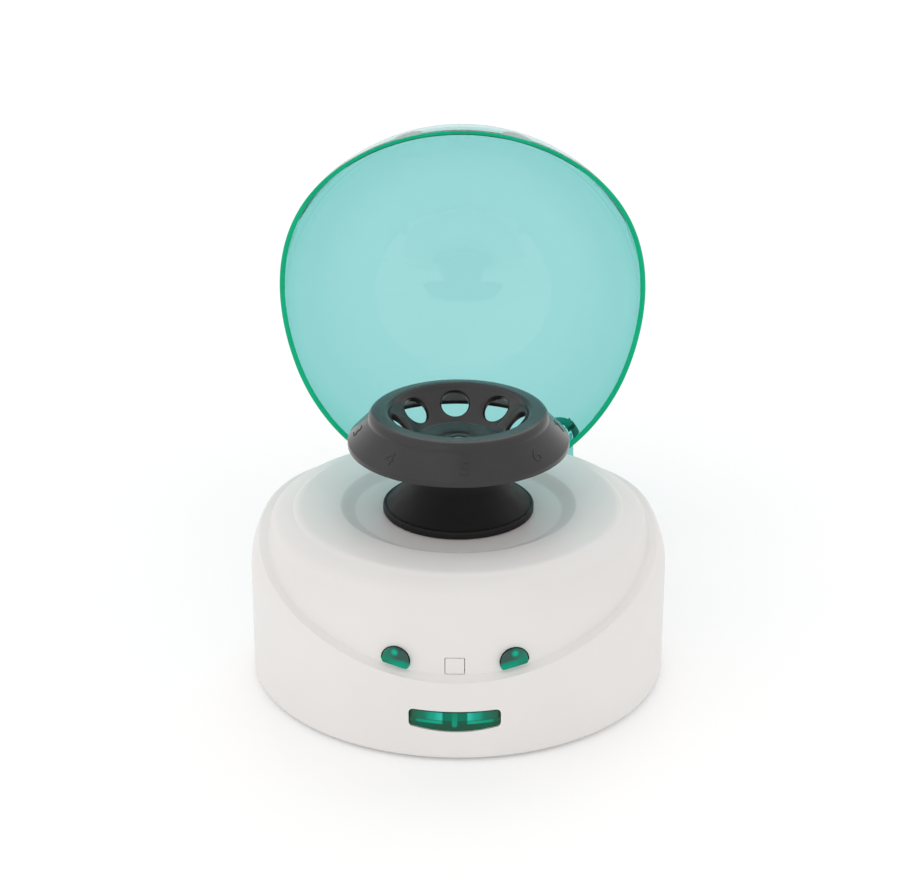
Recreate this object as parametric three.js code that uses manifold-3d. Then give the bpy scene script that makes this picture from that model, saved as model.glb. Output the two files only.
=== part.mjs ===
// Mini centrifuge for bench tubes: round body, angled rotor and a hinged dome lid.
// Millimetres, +Z up, front toward -Y, origin on the rotor axis at the height of the feet's soles.

import * as THREE from 'three';
import { mergeVertices } from 'three/addons/utils/BufferGeometryUtils.js';
import Module from 'manifold-3d';

const wasm = await Module();
wasm.setup();

// Clearances shared by all pieces
const overrun = 4;
const gap = 0.3;
const runGap = 0.35;
const weld = 0.0001;

// Facet counts
const bodySides = 48;
const hollowSides = 32;
const rotorSides = 36;
const partSides = 18;
const smallSides = 10;
const holeSides = 16;
const springSides = 5;
const springSteps = 8;
const socketSides = 6;
const halvings = 30;

// Body shell: a straight round wall with a shoulder arc above it
const bodyRadius = 80;
const footProud = 1.2;
const bodyEdge = 1.6;
const wallTop = 43.7;
const shoulderRadius = 37.75;
const shoulderTop = 68;
const bodyWall = 2.4;

// Face under the lid, and the seat line where lid and body meet
const faceInset = 2.8;
const seatFrontZ = 32.5;
const seatSideZ = 63;
const seatRearDrop = 6.4;
const seatBendY = 27.4;
const seatRearY = 10;
const seatPower = 2.04;
const seatWall = 2.6;

// Deck and bowl under the rotor
const deckZ = 67.6;
const crownInset = 10.4;
const crownDrop = 2.8;
const crownShoulderZ = 61.2;
const crownBowInset = 0.9;
const crownBowRise = 2.7;
const deckStepInset = 6.2;
const deckStepWidth = 2.2;
const deckStepDrop = 1.2;
const bowlMargin = 2.6;
const bowlTaper = 5.1;
const bowlDepth = 2.6;
const throatRadius = 22.3;

// Lid: a thin dome that carries the body's shoulder on
const lidWall = 2.2;
const lidSeatGap = 0.4;
const lidDomeZ = 61.6;
const lidHeight = 123.2;
const lidWaistInset = 23;
const lidWaistZ = 98.2;
const lidCrownInset = 36;
const lidOpenDeg = 93.6;

// Lid hinge: two arms outside the wall, each on a pin in a lug of the body
const hingeInset = 8.2;
const hingeZ = 42.4;
const armInner = 44;
const armWidth = 3.2;
const armBreadth = 5;
const armTipBreadth = 2.6;
const armBowOut = 0.2;
const armBowRise = 16.1;
const armEndSink = 1.765;
const armEndZ = 69.6;
const eyeRadius = 4.2;
const heelDrop = 4;
const lugInner = 38.6;
const lugRadius = 5.2;
const lugFoot = 14;
const pinRadius = 1.5;
const pinSeat = 4.2;
const pinHeadRadius = 2.6;
const pinHeadHeight = 1.2;
const swingRelief = 0.5;
const reliefReach = 30;

// Raised loop on the lid's inside, by the right-hand arm
const loopX = 42.3;
const loopInset = 0.6;
const loopRadius = 6.4;
const loopWidth = 3.4;
const loopZ = 67.2;
const loopHeight = 3.4;

// Latch noses: half moons that stand out of the face, flat side down
const noseX = 21.7;
const noseRise = 4.7;
const noseHalfWidth = 5;
const noseFlatHalf = 3.9;
const noseCorner = 1.6;
const noseHeight = 6.9;
const noseTiltDeg = 10.9;
const noseProud = 1.6;
const noseWall = 1.4;
const nosePostRadius = 1.6;
const nosePostRise = 3.4;
const pocketMargin = 0.6;

// Release button in the lower front wall
const buttonHalfWidth = 16.35;
const buttonTopZ = 20.9;
const buttonTopSag = 0.4;
const buttonBaseZ = 14.3;
const buttonBaseSag = 1.5;
const buttonCorner = 2;
const buttonRecess = 0.5;
const buttonWall = 1.5;
const buttonRibX = 5.3;
const buttonRibWidth = 1.2;
const buttonPostRadius = 1.3;
const buttonPostZ = 15.2;
const releaseTravel = 3;

// Latch yoke behind the face: crossbar, two uprights and a stem down to the button
const yokeClearance = 0.76;
const yokeThickness = 2.2;
const yokeHalfWidth = 27;
const yokeUprightX = 16.4;
const yokeTopZ = 45.4;
const crossbarBaseZ = 24;
const crossbarTopZ = 31;
const stemHalfWidth = 5;
const stemBaseZ = 14.8;
const buttonPlateHalf = 14;

// Rails of the body that guide the yoke, with a seat for each return spring
const railInnerX = 9;
const railOuterX = 15;
const railThickness = 2;
const railDepth = 15;
const springRadius = 2.2;
const springWire = 0.45;
const springTurns = 5;
const springX = 12;

// Lid sensing tab and its switch
const tabHalfWidth = 3.3;
const tabBaseZ = 35;
const tabTopZ = 41;
const tabStemHalf = 1.2;
const tabStemZ = 36.4;
const switchHalfWidth = 6.4;
const switchDepth = 6.5;
const switchHeight = 5.8;
const switchSetback = 9.2;
const plungerRadius = 1;
const plungerProud = 1.8;
const plungerInside = 2.1;
const plungerTravel = 0.7;

// Rear recess with the power inlet and the power switch
const rearPanelInset = 7;
const rearHalfWidth = 28;
const rearBaseZ = 13;
const rearTopZ = 33;
const inletX = -15;
const rockerX = 12;
const rearZ = 23;
const inletHalfWidth = 4.6;
const inletHalfHeight = 5.5;
const inletDepth = 13;
const inletLipHalf = 6;
const inletLip = 1.2;
const inletBoreRadius = 2.8;
const inletBoreDepth = 9;
const inletPinRadius = 1;
const frameHalfWidth = 10.5;
const frameHalfHeight = 7.5;
const frameLip = 1.6;
const frameBodyHalfWidth = 9.3;
const frameBodyHalfHeight = 6.3;
const frameDepth = 14;
const frameWellHalfWidth = 8.5;
const frameWellHalfHeight = 4.9;
const frameWellDepth = 7.5;
const rockerHalfLength = 7.7;
const rockerHalfHeight = 4.5;
const rockerThickness = 3.6;
const rockerDish = 0.8;
const rockerPinRadius = 1;
const rockerPinReach = 5.6;
const rockerPivotOut = 0.6;
const rockerTiltDeg = 10;

// Bottom cover with feet and screws
const coverThickness = 2.4;
const coverGap = 0.4;
const footInset = 17.6;
const footRadius = 7;
const footChamfer = 0.8;
const footInside = 1.7;
const footBossWall = 2;
const footBossRise = 1.8;
const bossInset = 9.6;
const bossRadius = 4;
const bossTop = 26;
const bossWeb = 2;
const bossAngleDeg = 20;
const screwShank = 1.4;
const screwHole = 1.7;
const screwLength = 12;
const screwHeadRadius = 3;
const screwHeadHeight = 1.1;
const screwSocket = 1.1;
const screwSocketDepth = 0.6;
const counterbore = 1.4;
const ventInner = 24;
const ventLength = 12;
const ventWidth = 3;
const ventCount = 10;

// Control board on posts of the bottom cover
const boardHalfWidth = 30;
const boardLength = 32;
const boardRearGap = 1;
const boardThickness = 1.6;
const boardStand = 4.6;
const boardPostRadius = 2.6;
const boardPostInset = 4;
const boardScrewShank = 1;
const boardScrewHole = 1.3;
const boardScrewHead = 2;
const boardScrewLength = 5;
const capacitorRadius = 5;
const capacitorHeight = 12;
const capacitorInset = 14;
const capacitorAhead = 12;
const regulatorX = 4;
const regulatorAhead = 8;
const regulatorWidth = 10;
const regulatorDepth = 4.5;
const regulatorHeight = 14;
const connectorInset = 12;
const connectorAhead = 16;
const connectorWidth = 12;
const connectorDepth = 6;
const connectorHeight = 7;

// Motor, hung from the bowl on rubber dampers
const motorRadius = 18;
const motorLength = 40;
const motorEdge = 1.2;
const motorNose = 5;
const motorNoseHeight = 3.4;
const motorPlateZ = 53.6;
const motorPlateRadius = 38.6;
const motorPlateThickness = 2;
const motorScrewRing = 12.5;
const motorScrewLength = 5;
const damperRing = 33;
const damperRadius = 5;
const damperHeight = 4;
const damperPostRadius = 4.5;
const plateScrewLength = 8;
const shaftRadius = 1.6;
const shaftBore = 1.95;
const shaftInMotor = 8;
const shaftTop = 86.2;

// Rubber boot round the shaft
const bootFlangeRadius = 28.9;
const bootFlangeHeight = 1.2;
const bootStepRadius = 27;
const bootStepHeight = 2.2;
const bootRingRadius = 25.4;
const bootRingHeight = 4.6;
const bootWaistRadius = 21.5;
const bootWaistZ = 73.5;
const bootThroatRadius = 17.8;
const bootThroatZ = 78.5;
const bootTopRadius = 15.6;
const bootTopZ = 86.5;
const bootWall = 1.6;

// Rotor
const rotorBaseZ = 92.1;
const rotorRadius = 42.1;
const rotorBand = 2.2;
const rotorLipRadius = 34.3;
const rotorLipBaseZ = 102.4;
const rotorLipTopZ = 105.3;
const rotorLipFlat = 31.5;
const rotorLipInner = 28.4;
const rotorMouthRadius = 26;
const rotorMouthZ = 104.3;
const rotorFloorRadius = 15.5;
const rotorFloorZ = 94.5;
const rotorWall = 2.2;
const hubRadius = 8.5;
const hubBaseZ = 82;
const hubTopZ = 93.9;
const hubSocketRadius = 3.8;
const hubSocketDepth = 3.2;
const tubeHoleRadius = 5.3;
const tubeHoleRing = 21.3;
const tubeHoles = 8;
const rotorRestDeg = 4.5;
const rotorScrewLength = 4;
const rotorScrewHeadHeight = 2.4;

// Heights and radii that follow from the sizes above
const bodyBaseZ = footProud;
const coverTopZ = bodyBaseZ + coverThickness;
const shoulderAxis = bodyRadius - shoulderRadius;
const faceRadius = bodyRadius - faceInset;
const bowlFloorZ = deckZ - bowlDepth;
const innerRadius = bodyRadius - bodyWall;
const faceInnerRadius = faceRadius - bodyWall;
const crownRadius = bodyRadius - crownInset;
const deckRadius = crownRadius - deckStepInset - deckStepWidth;
const bowlRadius = rotorRadius + bowlMargin;
const bowlFloorRadius = bowlRadius - bowlTaper;
const hingeY = bodyRadius - hingeInset;
const noseFlatZ = seatFrontZ + noseRise;
const yokeFrontY = yokeClearance - Math.sqrt(faceInnerRadius ** 2 - yokeHalfWidth ** 2);
const railBackY = yokeFrontY + railDepth;
const switchFrontY = switchSetback - faceInnerRadius;
const rearPanelY = bodyRadius - rearPanelInset;
const rockerPivotY = rearPanelY + rockerPivotOut;
const footRing = innerRadius - footInset;
const bossRing = innerRadius - bossInset;
const boardRearY = rearPanelY - frameDepth - boardRearGap;
const boardFrontY = boardRearY - boardLength;
const capacitorX = capacitorInset - boardHalfWidth;
const connectorX = boardHalfWidth - connectorInset;
const motorTopZ = motorPlateZ - gap;
const motorBaseZ = motorTopZ - motorLength;
const plateTopZ = motorPlateZ + motorPlateThickness;
const damperTopZ = plateTopZ + gap + damperHeight;
const bowlUnderZ = bowlFloorZ - bodyWall;
const yokeBackY = yokeFrontY + yokeThickness;
const shelfBaseZ = crossbarTopZ + gap;
const shelfTopZ = shelfBaseZ + railThickness;
const boardZ = coverTopZ + boardStand + gap;
const boardTopZ = boardZ + boardThickness;

// Turns a closed three.js geometry into a solid
function solid(geometry) {
  const bare = geometry.clone();
  bare.deleteAttribute('normal');
  bare.deleteAttribute('uv');
  const merged = mergeVertices(bare, weld);
  const index = merged.index.array;
  const triVerts = [];
  for (let k = 0; k < index.length; k += 3) {
    const [a, b, c] = [index[k], index[k + 1], index[k + 2]];
    if (a !== b && b !== c && c !== a) triVerts.push(a, b, c);
  }
  const mesh = { numProp: 3, vertProperties: new Float32Array(merged.attributes.position.array) };
  const made = new wasm.Manifold(new wasm.Mesh({ ...mesh, triVerts: new Uint32Array(triVerts) }));
  if (made.volume() > 0) return made;
  return new wasm.Manifold(new wasm.Mesh({ ...mesh, triVerts: new Uint32Array(triVerts.reverse()) }));
}

// Turns a solid back into a geometry with flat facets
function geometryOf(body) {
  const { vertProperties, triVerts, numProp } = body.getMesh();
  const geometry = new THREE.BufferGeometry();
  const places = new Float32Array((vertProperties.length / numProp) * 3);
  for (let k = 0; k < places.length / 3; k += 1) {
    for (let axis = 0; axis < 3; axis += 1) places[3 * k + axis] = vertProperties[numProp * k + axis];
  }
  geometry.setAttribute('position', new THREE.BufferAttribute(places, 3));
  geometry.setIndex(new THREE.BufferAttribute(new Uint32Array(triVerts), 1));
  geometry.computeVertexNormals();
  return geometry;
}

// A solid turned about the Z axis from [radius, height] points
function turned(profile, sides) {
  const points = profile.map(([r, z]) => new THREE.Vector2(r, z));
  const first = points[0];
  const last = points[points.length - 1];
  if (first.x > 0 || last.x > 0) points.push(first.clone());
  return solid(new THREE.LatheGeometry(points, sides).rotateX(Math.PI / 2));
}

// Axes for flat outlines: seen from the right (y, z), from the front (x, z) and from above (x, y)
const sideways = new THREE.Matrix4().makeBasis(
  new THREE.Vector3(0, 1, 0), new THREE.Vector3(0, 0, 1), new THREE.Vector3(1, 0, 0));
const frontal = new THREE.Matrix4().makeBasis(
  new THREE.Vector3(1, 0, 0), new THREE.Vector3(0, 0, 1), new THREE.Vector3(0, -1, 0));
const upward = new THREE.Matrix4();

function extruded(points, depth, basis) {
  const outline = points.map(([u, v]) => new THREE.Vector2(u, v));
  const geometry = new THREE.ExtrudeGeometry(new THREE.Shape(outline), { depth, bevelEnabled: false });
  return geometry.applyMatrix4(basis);
}

// An outline in (y, z) carried along X
function alongX(points, fromX, toX) {
  return solid(extruded(points, toX - fromX, sideways).translate(fromX, 0, 0));
}

// An outline in (x, z) carried along Y
function alongY(points, fromY, toY) {
  return solid(extruded(points, toY - fromY, frontal).translate(0, toY, 0));
}

// An outline in (x, y) carried along Z
function alongZ(points, fromZ, toZ) {
  return solid(extruded(points, toZ - fromZ, upward).translate(0, 0, fromZ));
}

function block([x0, y0, z0], [x1, y1, z1]) {
  const geometry = new THREE.BoxGeometry(x1 - x0, y1 - y0, z1 - z0);
  return solid(geometry.translate((x0 + x1) / 2, (y0 + y1) / 2, (z0 + z1) / 2));
}

// A round bar about a line parallel to an axis
function barZ(radius, x, y, z0, z1, sides = partSides) {
  const geometry = new THREE.CylinderGeometry(radius, radius, z1 - z0, sides).rotateX(Math.PI / 2);
  return solid(geometry.translate(x, y, (z0 + z1) / 2));
}

function barY(radius, x, z, y0, y1, sides = partSides) {
  const geometry = new THREE.CylinderGeometry(radius, radius, y1 - y0, sides);
  return solid(geometry.translate(x, (y0 + y1) / 2, z));
}

function barX(radius, y, z, x0, x1, sides = partSides) {
  const geometry = new THREE.CylinderGeometry(radius, radius, x1 - x0, sides).rotateZ(Math.PI / 2);
  return solid(geometry.translate((x0 + x1) / 2, y, z));
}

function joined(parts) {
  return parts.reduce((whole, next) => whole.add(next));
}

function cutBy(whole, cutters) {
  return cutters.reduce((rest, cutter) => rest.subtract(cutter), whole);
}

// A ring of [x, y] places at one radius
function ringPlaces(radius, anglesDeg) {
  return anglesDeg.map((deg) => {
    const angle = THREE.MathUtils.degToRad(deg);
    return [radius * Math.cos(angle), radius * Math.sin(angle)];
  });
}

// Height of the line where lid and body meet, at a place y
function seatZ(y) {
  const ahead = Math.max(0, (seatBendY - y) / (seatBendY + bodyRadius));
  const behind = Math.max(0, (y - seatRearY) / (bodyRadius - seatRearY));
  return seatSideZ - (seatSideZ - seatFrontZ) * ahead ** seatPower - seatRearDrop * behind ** 2;
}

// Everything above the seat line, moved up or down by rise
function aboveSeat(rise) {
  const reach = bodyRadius + overrun;
  const steps = 18;
  const points = [];
  for (let k = 0; k <= steps; k += 1) {
    const y = -reach + (2 * reach * k) / steps;
    points.push([y, seatZ(y) + rise]);
  }
  points.push([reach, lidHeight + overrun], [-reach, lidHeight + overrun]);
  return alongX(points, -reach, reach);
}

// Radius of the body's outer skin, moved in by an inset, at a height z
function skinRadius(z, inset) {
  const rise = Math.max(0, z - wallTop);
  return shoulderAxis + Math.sqrt((shoulderRadius - inset) ** 2 - rise ** 2);
}

// Points up the shoulder arc of that skin
function shoulderPoints(inset, toZ, steps) {
  const points = [];
  for (let k = 0; k <= steps; k += 1) {
    const z = wallTop + (toZ - wallTop) * Math.sin((k / steps) * (Math.PI / 2));
    points.push([skinRadius(z, inset), z]);
  }
  return points;
}

// Points of a quadratic curve, without its first point
function bend(from, through, to, steps) {
  const curve = new THREE.QuadraticBezierCurve(
    new THREE.Vector2(...from), new THREE.Vector2(...through), new THREE.Vector2(...to));
  return curve.getPoints(steps).slice(1).map((p) => [p.x, p.y]);
}

// Half moon with its flat side down, grown all round, at its place on one side of the face
function noseOutline(side, grow) {
  const half = noseHalfWidth + grow;
  const flat = noseFlatHalf + Math.min(0, grow);
  const top = noseHeight + grow;
  const waist = noseCorner;
  const points = [[-flat, -grow], [flat, -grow]];
  points.push(...bend([flat, -grow], [half, -grow], [half, waist], 3));
  const steps = 8;
  for (let k = 1; k <= steps; k += 1) {
    const angle = (Math.PI * k) / steps;
    points.push([half * Math.cos(angle), waist + (top - waist) * Math.sin(angle)]);
  }
  points.push(...bend([-half, waist], [-half, -grow], [-flat, -grow], 3).slice(0, -1));
  const tilt = THREE.MathUtils.degToRad(noseTiltDeg) * side;
  return points.map(([u, v]) => [
    side * noseX + u * Math.cos(tilt) - v * Math.sin(tilt),
    noseFlatZ + u * Math.sin(tilt) + v * Math.cos(tilt),
  ]);
}

// Outline of the release button, grown all round
function buttonOutline(grow) {
  const half = buttonHalfWidth + grow;
  const top = buttonTopZ + grow;
  const base = buttonBaseZ - grow;
  const corner = buttonCorner + Math.min(0, grow);
  const points = [[-half + corner, top]];
  points.push(...bend([-half + corner, top], [0, top - 2 * buttonTopSag], [half - corner, top], 4));
  points.push(...bend([half - corner, top], [half, top], [half, top - corner], 3));
  points.push([half, base + corner]);
  points.push(...bend([half, base + corner], [half, base], [half - corner, base], 3));
  points.push(...bend([half - corner, base], [0, base - 2 * buttonBaseSag], [-half + corner, base], 6));
  points.push(...bend([-half + corner, base], [-half, base], [-half, base + corner], 3));
  points.push([-half, top - corner]);
  points.push(...bend([-half, top - corner], [-half, top], [-half + corner, top], 3).slice(0, -1));
  return points.reverse();
}

// Space inside a shell, open at the bottom
function housingHollow() {
  const start = bodyBaseZ - overrun;
  const under = deckZ - bodyWall;
  const lower = turned([
    [0, start], [innerRadius, start], ...shoulderPoints(bodyWall, shoulderTop - bodyWall, 5),
    [0, shoulderTop - bodyWall],
  ], hollowSides);
  const upper = turned([
    [0, start], [faceInnerRadius, start], ...shoulderPoints(faceInset + bodyWall, crownShoulderZ, 4),
    [crownRadius - bodyWall / 2, deckZ - crownDrop - bodyWall],
    [deckRadius + deckStepWidth, deckZ - deckStepDrop - bodyWall],
    [deckRadius, under], [bowlRadius + bodyWall / 2, under],
    [bowlFloorRadius + bodyWall / 2, bowlUnderZ], [0, bowlUnderZ],
  ], hollowSides);
  return lower.subtract(aboveSeat(-seatWall)).add(upper);
}

// Round wall up to the seat line, then the face, deck and bowl inside the lid
function housingSkin() {
  const edgeStart = [bodyRadius - bodyEdge, bodyBaseZ];
  const outer = turned([
    [0, bodyBaseZ], edgeStart,
    ...bend(edgeStart, [bodyRadius, bodyBaseZ], [bodyRadius, bodyBaseZ + bodyEdge], 2),
    ...shoulderPoints(0, shoulderTop, 7), [0, shoulderTop],
  ], bodySides);
  const shoulder = shoulderPoints(faceInset, crownShoulderZ, 5);
  const [edgeRadius] = shoulder[shoulder.length - 1];
  const stepFoot = [deckRadius + deckStepWidth, deckZ - deckStepDrop];
  const crownFoot = [crownRadius, deckZ - crownDrop];
  const face = turned([
    [0, bodyBaseZ], [faceRadius, bodyBaseZ], ...shoulder,
    ...bend([edgeRadius, crownShoulderZ],
      [edgeRadius - crownBowInset, crownShoulderZ + crownBowRise], crownFoot, 3),
    ...bend(crownFoot, [(crownFoot[0] + stepFoot[0]) / 2, stepFoot[1]], stepFoot, 3),
    ...bend(stepFoot, [deckRadius + deckStepWidth / 2, stepFoot[1]],
      [deckRadius + deckStepWidth / 2, deckZ - deckStepDrop / 2], 1),
    [deckRadius, deckZ], [bowlRadius, deckZ], [bowlFloorRadius, bowlFloorZ], [0, bowlFloorZ],
  ], bodySides);
  return outer.subtract(aboveSeat(0)).add(face);
}

// Where a flat plane at x meets the round wall
function wallY(x) {
  return Math.sqrt(bodyRadius ** 2 - x ** 2);
}

// A span along X on one side, given for the right-hand side
function spanX(side, near, far) {
  return side > 0 ? [near, far] : [-far, -near];
}

// Lug on the rear wall that holds a hinge pin
function hingeLug(side) {
  const points = [[hingeY - lugFoot, hingeZ + lugRadius]];
  const steps = 10;
  for (let k = 0; k <= steps; k += 1) {
    const angle = Math.PI / 2 - (Math.PI * 0.75 * k) / steps;
    points.push([hingeY + lugRadius * Math.cos(angle), hingeZ + lugRadius * Math.sin(angle)]);
  }
  points.push([hingeY - lugFoot, hingeZ - lugFoot - lugRadius / 2]);
  return alongX(points.reverse(), ...spanX(side, lugInner, armInner - 2 * gap));
}

// Room behind the rear shoulder for the lid's rear edge to swing through
function swingRoom() {
  const rimZ = seatZ(skinRadius(seatZ(hingeY), 0)) + lidSeatGap;
  const rimY = skinRadius(rimZ, lidWall);
  const radius = Math.hypot(rimY - hingeY, rimZ - hingeZ) - swingRelief;
  const start = Math.atan2(rimZ - hingeZ, skinRadius(rimZ, 0) - hingeY);
  const points = [];
  const steps = 10;
  for (let k = 0; k <= steps; k += 1) {
    const angle = start - (start + Math.PI / 4) * (k / steps);
    points.push([hingeY + radius * Math.cos(angle), hingeZ + radius * Math.sin(angle)]);
  }
  for (const angle of [-Math.PI / 4, start / 3, start]) {
    const far = radius + reliefReach;
    points.push([hingeY + far * Math.cos(angle), hingeZ + far * Math.sin(angle)]);
  }
  return alongX(points.reverse(), -lugInner, lugInner);
}

// Rails, spring seats and the switch shelf behind the front wall
function yokeGuides() {
  const frontY = -skinRadius(wallTop, bodyWall / 2) + railThickness;
  const railTop = crossbarBaseZ - gap;
  const railBase = railTop - railThickness;
  const parts = [block([-railOuterX, railBackY, shelfBaseZ], [railOuterX, frontY, shelfTopZ])];
  for (const side of [-1, 1]) {
    const [low, high] = spanX(side, railInnerX, railOuterX);
    parts.push(block([low, railBackY, railBase], [high, frontY, railTop]));
    parts.push(block([low, railBackY - railThickness, railBase], [high, railBackY, shelfTopZ]));
  }
  return joined(parts);
}

const bossAngles = [bossAngleDeg, 180 - bossAngleDeg, 180 + bossAngleDeg, -bossAngleDeg];
const bossPlaces = ringPlaces(bossRing, bossAngles);
const footPlaces = ringPlaces(footRing, [45, 135, 225, 315]);
const damperPlaces = ringPlaces(damperRing, [90, 210, 330]);
const motorScrewPlaces = ringPlaces(motorScrewRing, [0, 180]);
const boardPosts = [
  [-boardHalfWidth + boardPostInset, boardFrontY + boardPostInset],
  [boardHalfWidth - boardPostInset, boardFrontY + boardPostInset],
  [-boardHalfWidth + boardPostInset, boardRearY - boardPostInset],
  [boardHalfWidth - boardPostInset, boardRearY - boardPostInset],
];

// Window in the rear panel for what snaps into it
function rearWindow(x, halfWidth, halfHeight) {
  return block(
    [x - halfWidth - gap, rearPanelY - bodyWall - overrun, rearZ - halfHeight - gap],
    [x + halfWidth + gap, rearPanelY + overrun, rearZ + halfHeight + gap]);
}

// One-piece moulded housing
function makeHousing() {
  let shell = joined([housingSkin(), hingeLug(-1), hingeLug(1)]).subtract(housingHollow());
  const baseZ = coverTopZ + gap;
  for (const [x, y] of bossPlaces) {
    const reach = innerRadius + bodyWall / 2;
    const web = block([bossRing, -bossWeb / 2, baseZ], [reach, bossWeb / 2, bossTop]);
    shell = shell.add(web.rotate([0, 0, THREE.MathUtils.radToDeg(Math.atan2(y, x))]));
    shell = shell.add(barZ(bossRadius, x, y, baseZ, bossTop, smallSides));
    const holeTop = coverTopZ + screwLength + gap;
    shell = shell.subtract(barZ(screwHole, x, y, baseZ - overrun, holeTop, smallSides));
  }
  for (const [x, y] of damperPlaces) {
    const postTop = bowlUnderZ + bodyWall / 2;
    const holeTop = motorPlateZ + plateScrewLength + gap;
    shell = shell.add(barZ(damperPostRadius, x, y, damperTopZ + gap, postTop, smallSides));
    shell = shell.subtract(barZ(screwHole, x, y, damperTopZ - overrun, holeTop, smallSides));
  }
  const pad = block(
    [-rearHalfWidth - bodyWall, rearPanelY - bodyWall, rearBaseZ - bodyWall],
    [rearHalfWidth + bodyWall, bodyRadius, rearTopZ + bodyWall]);
  const roundBody = barZ(innerRadius + bodyWall / 2, 0, 0, 0, rearTopZ + overrun + bodyWall, bodySides);
  shell = joined([shell, pad.intersect(roundBody), yokeGuides()]);
  return cutBy(shell, [
    block([-rearHalfWidth, rearPanelY, rearBaseZ], [rearHalfWidth, bodyRadius + overrun, rearTopZ]),
    rearWindow(inletX, inletHalfWidth, inletHalfHeight),
    rearWindow(rockerX, frameBodyHalfWidth, frameBodyHalfHeight),
    barZ(throatRadius, 0, 0, bowlUnderZ - overrun, bowlFloorZ + overrun, rotorSides),
    alongY(buttonOutline(runGap), -bodyRadius - overrun, yokeFrontY),
    alongY(noseOutline(-1, runGap), -bodyRadius - overrun, yokeFrontY),
    alongY(noseOutline(1, runGap), -bodyRadius - overrun, yokeFrontY),
    block(
      [-tabHalfWidth - runGap, -bodyRadius, tabBaseZ - runGap],
      [tabHalfWidth + runGap, yokeFrontY, tabTopZ + runGap]),
    swingRoom(),
    barX(pinRadius + gap, hingeY, hingeZ, lugInner + gap, armInner, smallSides),
    barX(pinRadius + gap, hingeY, hingeZ, -armInner, -lugInner - gap, smallSides),
  ]);
}

// Curve of the lid's outside from the end of the shoulder arc up to the crown
const lidCurve = new THREE.CubicBezierCurve(
  new THREE.Vector2(skinRadius(lidDomeZ, 0), lidDomeZ),
  new THREE.Vector2(bodyRadius - lidWaistInset, lidWaistZ),
  new THREE.Vector2(bodyRadius - lidCrownInset, lidHeight),
  new THREE.Vector2(0, lidHeight));

// Where that curve, moved in by an inset, passes a plane at x, at a height z
function lidY(x, z, inset) {
  let [low, high] = [0, 1];
  for (let k = 0; k < halvings; k += 1) {
    const middle = (low + high) / 2;
    if (lidCurve.getPoint(middle).y < z) low = middle;
    else high = middle;
  }
  return Math.sqrt((lidCurve.getPoint(high).x - inset) ** 2 - x ** 2);
}

// Points of the lid's profile from the seat up to the crown, moved in by an inset
function lidProfile(inset, steps) {
  const points = [];
  for (let k = 1; k <= steps; k += 1) {
    const share = k / steps;
    const place = lidCurve.getPoint(share);
    const along = lidCurve.getTangent(share);
    points.push([Math.max(0, place.x - inset * along.y), place.y + inset * along.x]);
  }
  points[steps - 1] = [0, lidHeight - inset];
  return points;
}

function lidSolid(inset) {
  const start = seatFrontZ - overrun;
  const profile = [[0, start - inset], [bodyRadius - inset, start - inset]];
  profile.push(...shoulderPoints(inset, lidDomeZ, 5), ...lidProfile(inset, 9));
  return turned(profile, bodySides);
}

// Arm outline in (y, z): an eye on the pin, a bowed bar and a heel that stops on the wall when open
function armOutline() {
  const curve = new THREE.QuadraticBezierCurve(
    new THREE.Vector2(hingeY, hingeZ),
    new THREE.Vector2(hingeY + armBowOut, hingeZ + armBowRise),
    new THREE.Vector2(lidY(armInner, armEndZ, armEndSink), armEndZ));
  const inner = [];
  const outer = [];
  const steps = 7;
  const half = armBreadth / 2;
  for (let k = 1; k <= steps; k += 1) {
    const place = curve.getPoint(k / steps);
    const along = curve.getTangent(k / steps);
    const reach = half + ((armTipBreadth / 2 - half) * k) / steps;
    inner.push([place.x - reach * along.y, place.y + reach * along.x]);
    outer.push([place.x + reach * along.y, place.y - reach * along.x]);
  }
  return [[hingeY - half, hingeZ], ...inner, ...outer.reverse(), [hingeY + half, hingeZ]];
}

function heelOutline() {
  const open = THREE.MathUtils.degToRad(lidOpenDeg);
  const reach = hingeY - wallY(armInner) - gap;
  const corners = [[0, 0], [-reach, 0], [-reach, -heelDrop], [0, -heelDrop]];
  return corners.map(([u, v]) => [
    hingeY + u * Math.cos(open) - v * Math.sin(open),
    hingeZ + u * Math.sin(open) + v * Math.cos(open),
  ]);
}

function makeLid() {
  const outer = lidSolid(0);
  const inner = lidSolid(lidWall);
  const seat = aboveSeat(lidSeatGap);
  const parts = [outer.subtract(inner).intersect(seat)];
  const loopTop = loopZ + loopHeight;
  const loopY = lidY(loopX, loopZ, loopInset);
  for (const side of [-1, 1]) {
    const [low, high] = spanX(side, armInner, armInner + armWidth);
    const arm = joined([
      alongX(armOutline(), low, high),
      alongX(heelOutline(), low, high),
      barX(eyeRadius, hingeY, hingeZ, low, high),
    ]);
    const eye = barX(pinRadius + gap, hingeY, hingeZ, low - gap, high + gap, smallSides);
    parts.push(arm.subtract(inner).subtract(eye));
  }
  const ring = barZ(loopRadius + loopWidth / 2, loopX, loopY, loopZ, loopTop);
  const hole = barZ(loopRadius - loopWidth / 2, loopX, loopY, loopZ - overrun, loopTop + overrun);
  parts.push(ring.subtract(hole).intersect(outer));
  const pocketDepth = barZ(faceRadius + noseProud + gap, 0, 0, 0, wallTop + overrun, bodySides);
  const pockets = [-1, 1].map((side) => {
    const through = alongY(noseOutline(side, pocketMargin), -bodyRadius, yokeFrontY);
    return through.intersect(pocketDepth);
  });
  return cutBy(joined(parts), pockets).translate([0, -hingeY, -hingeZ]);
}

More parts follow.
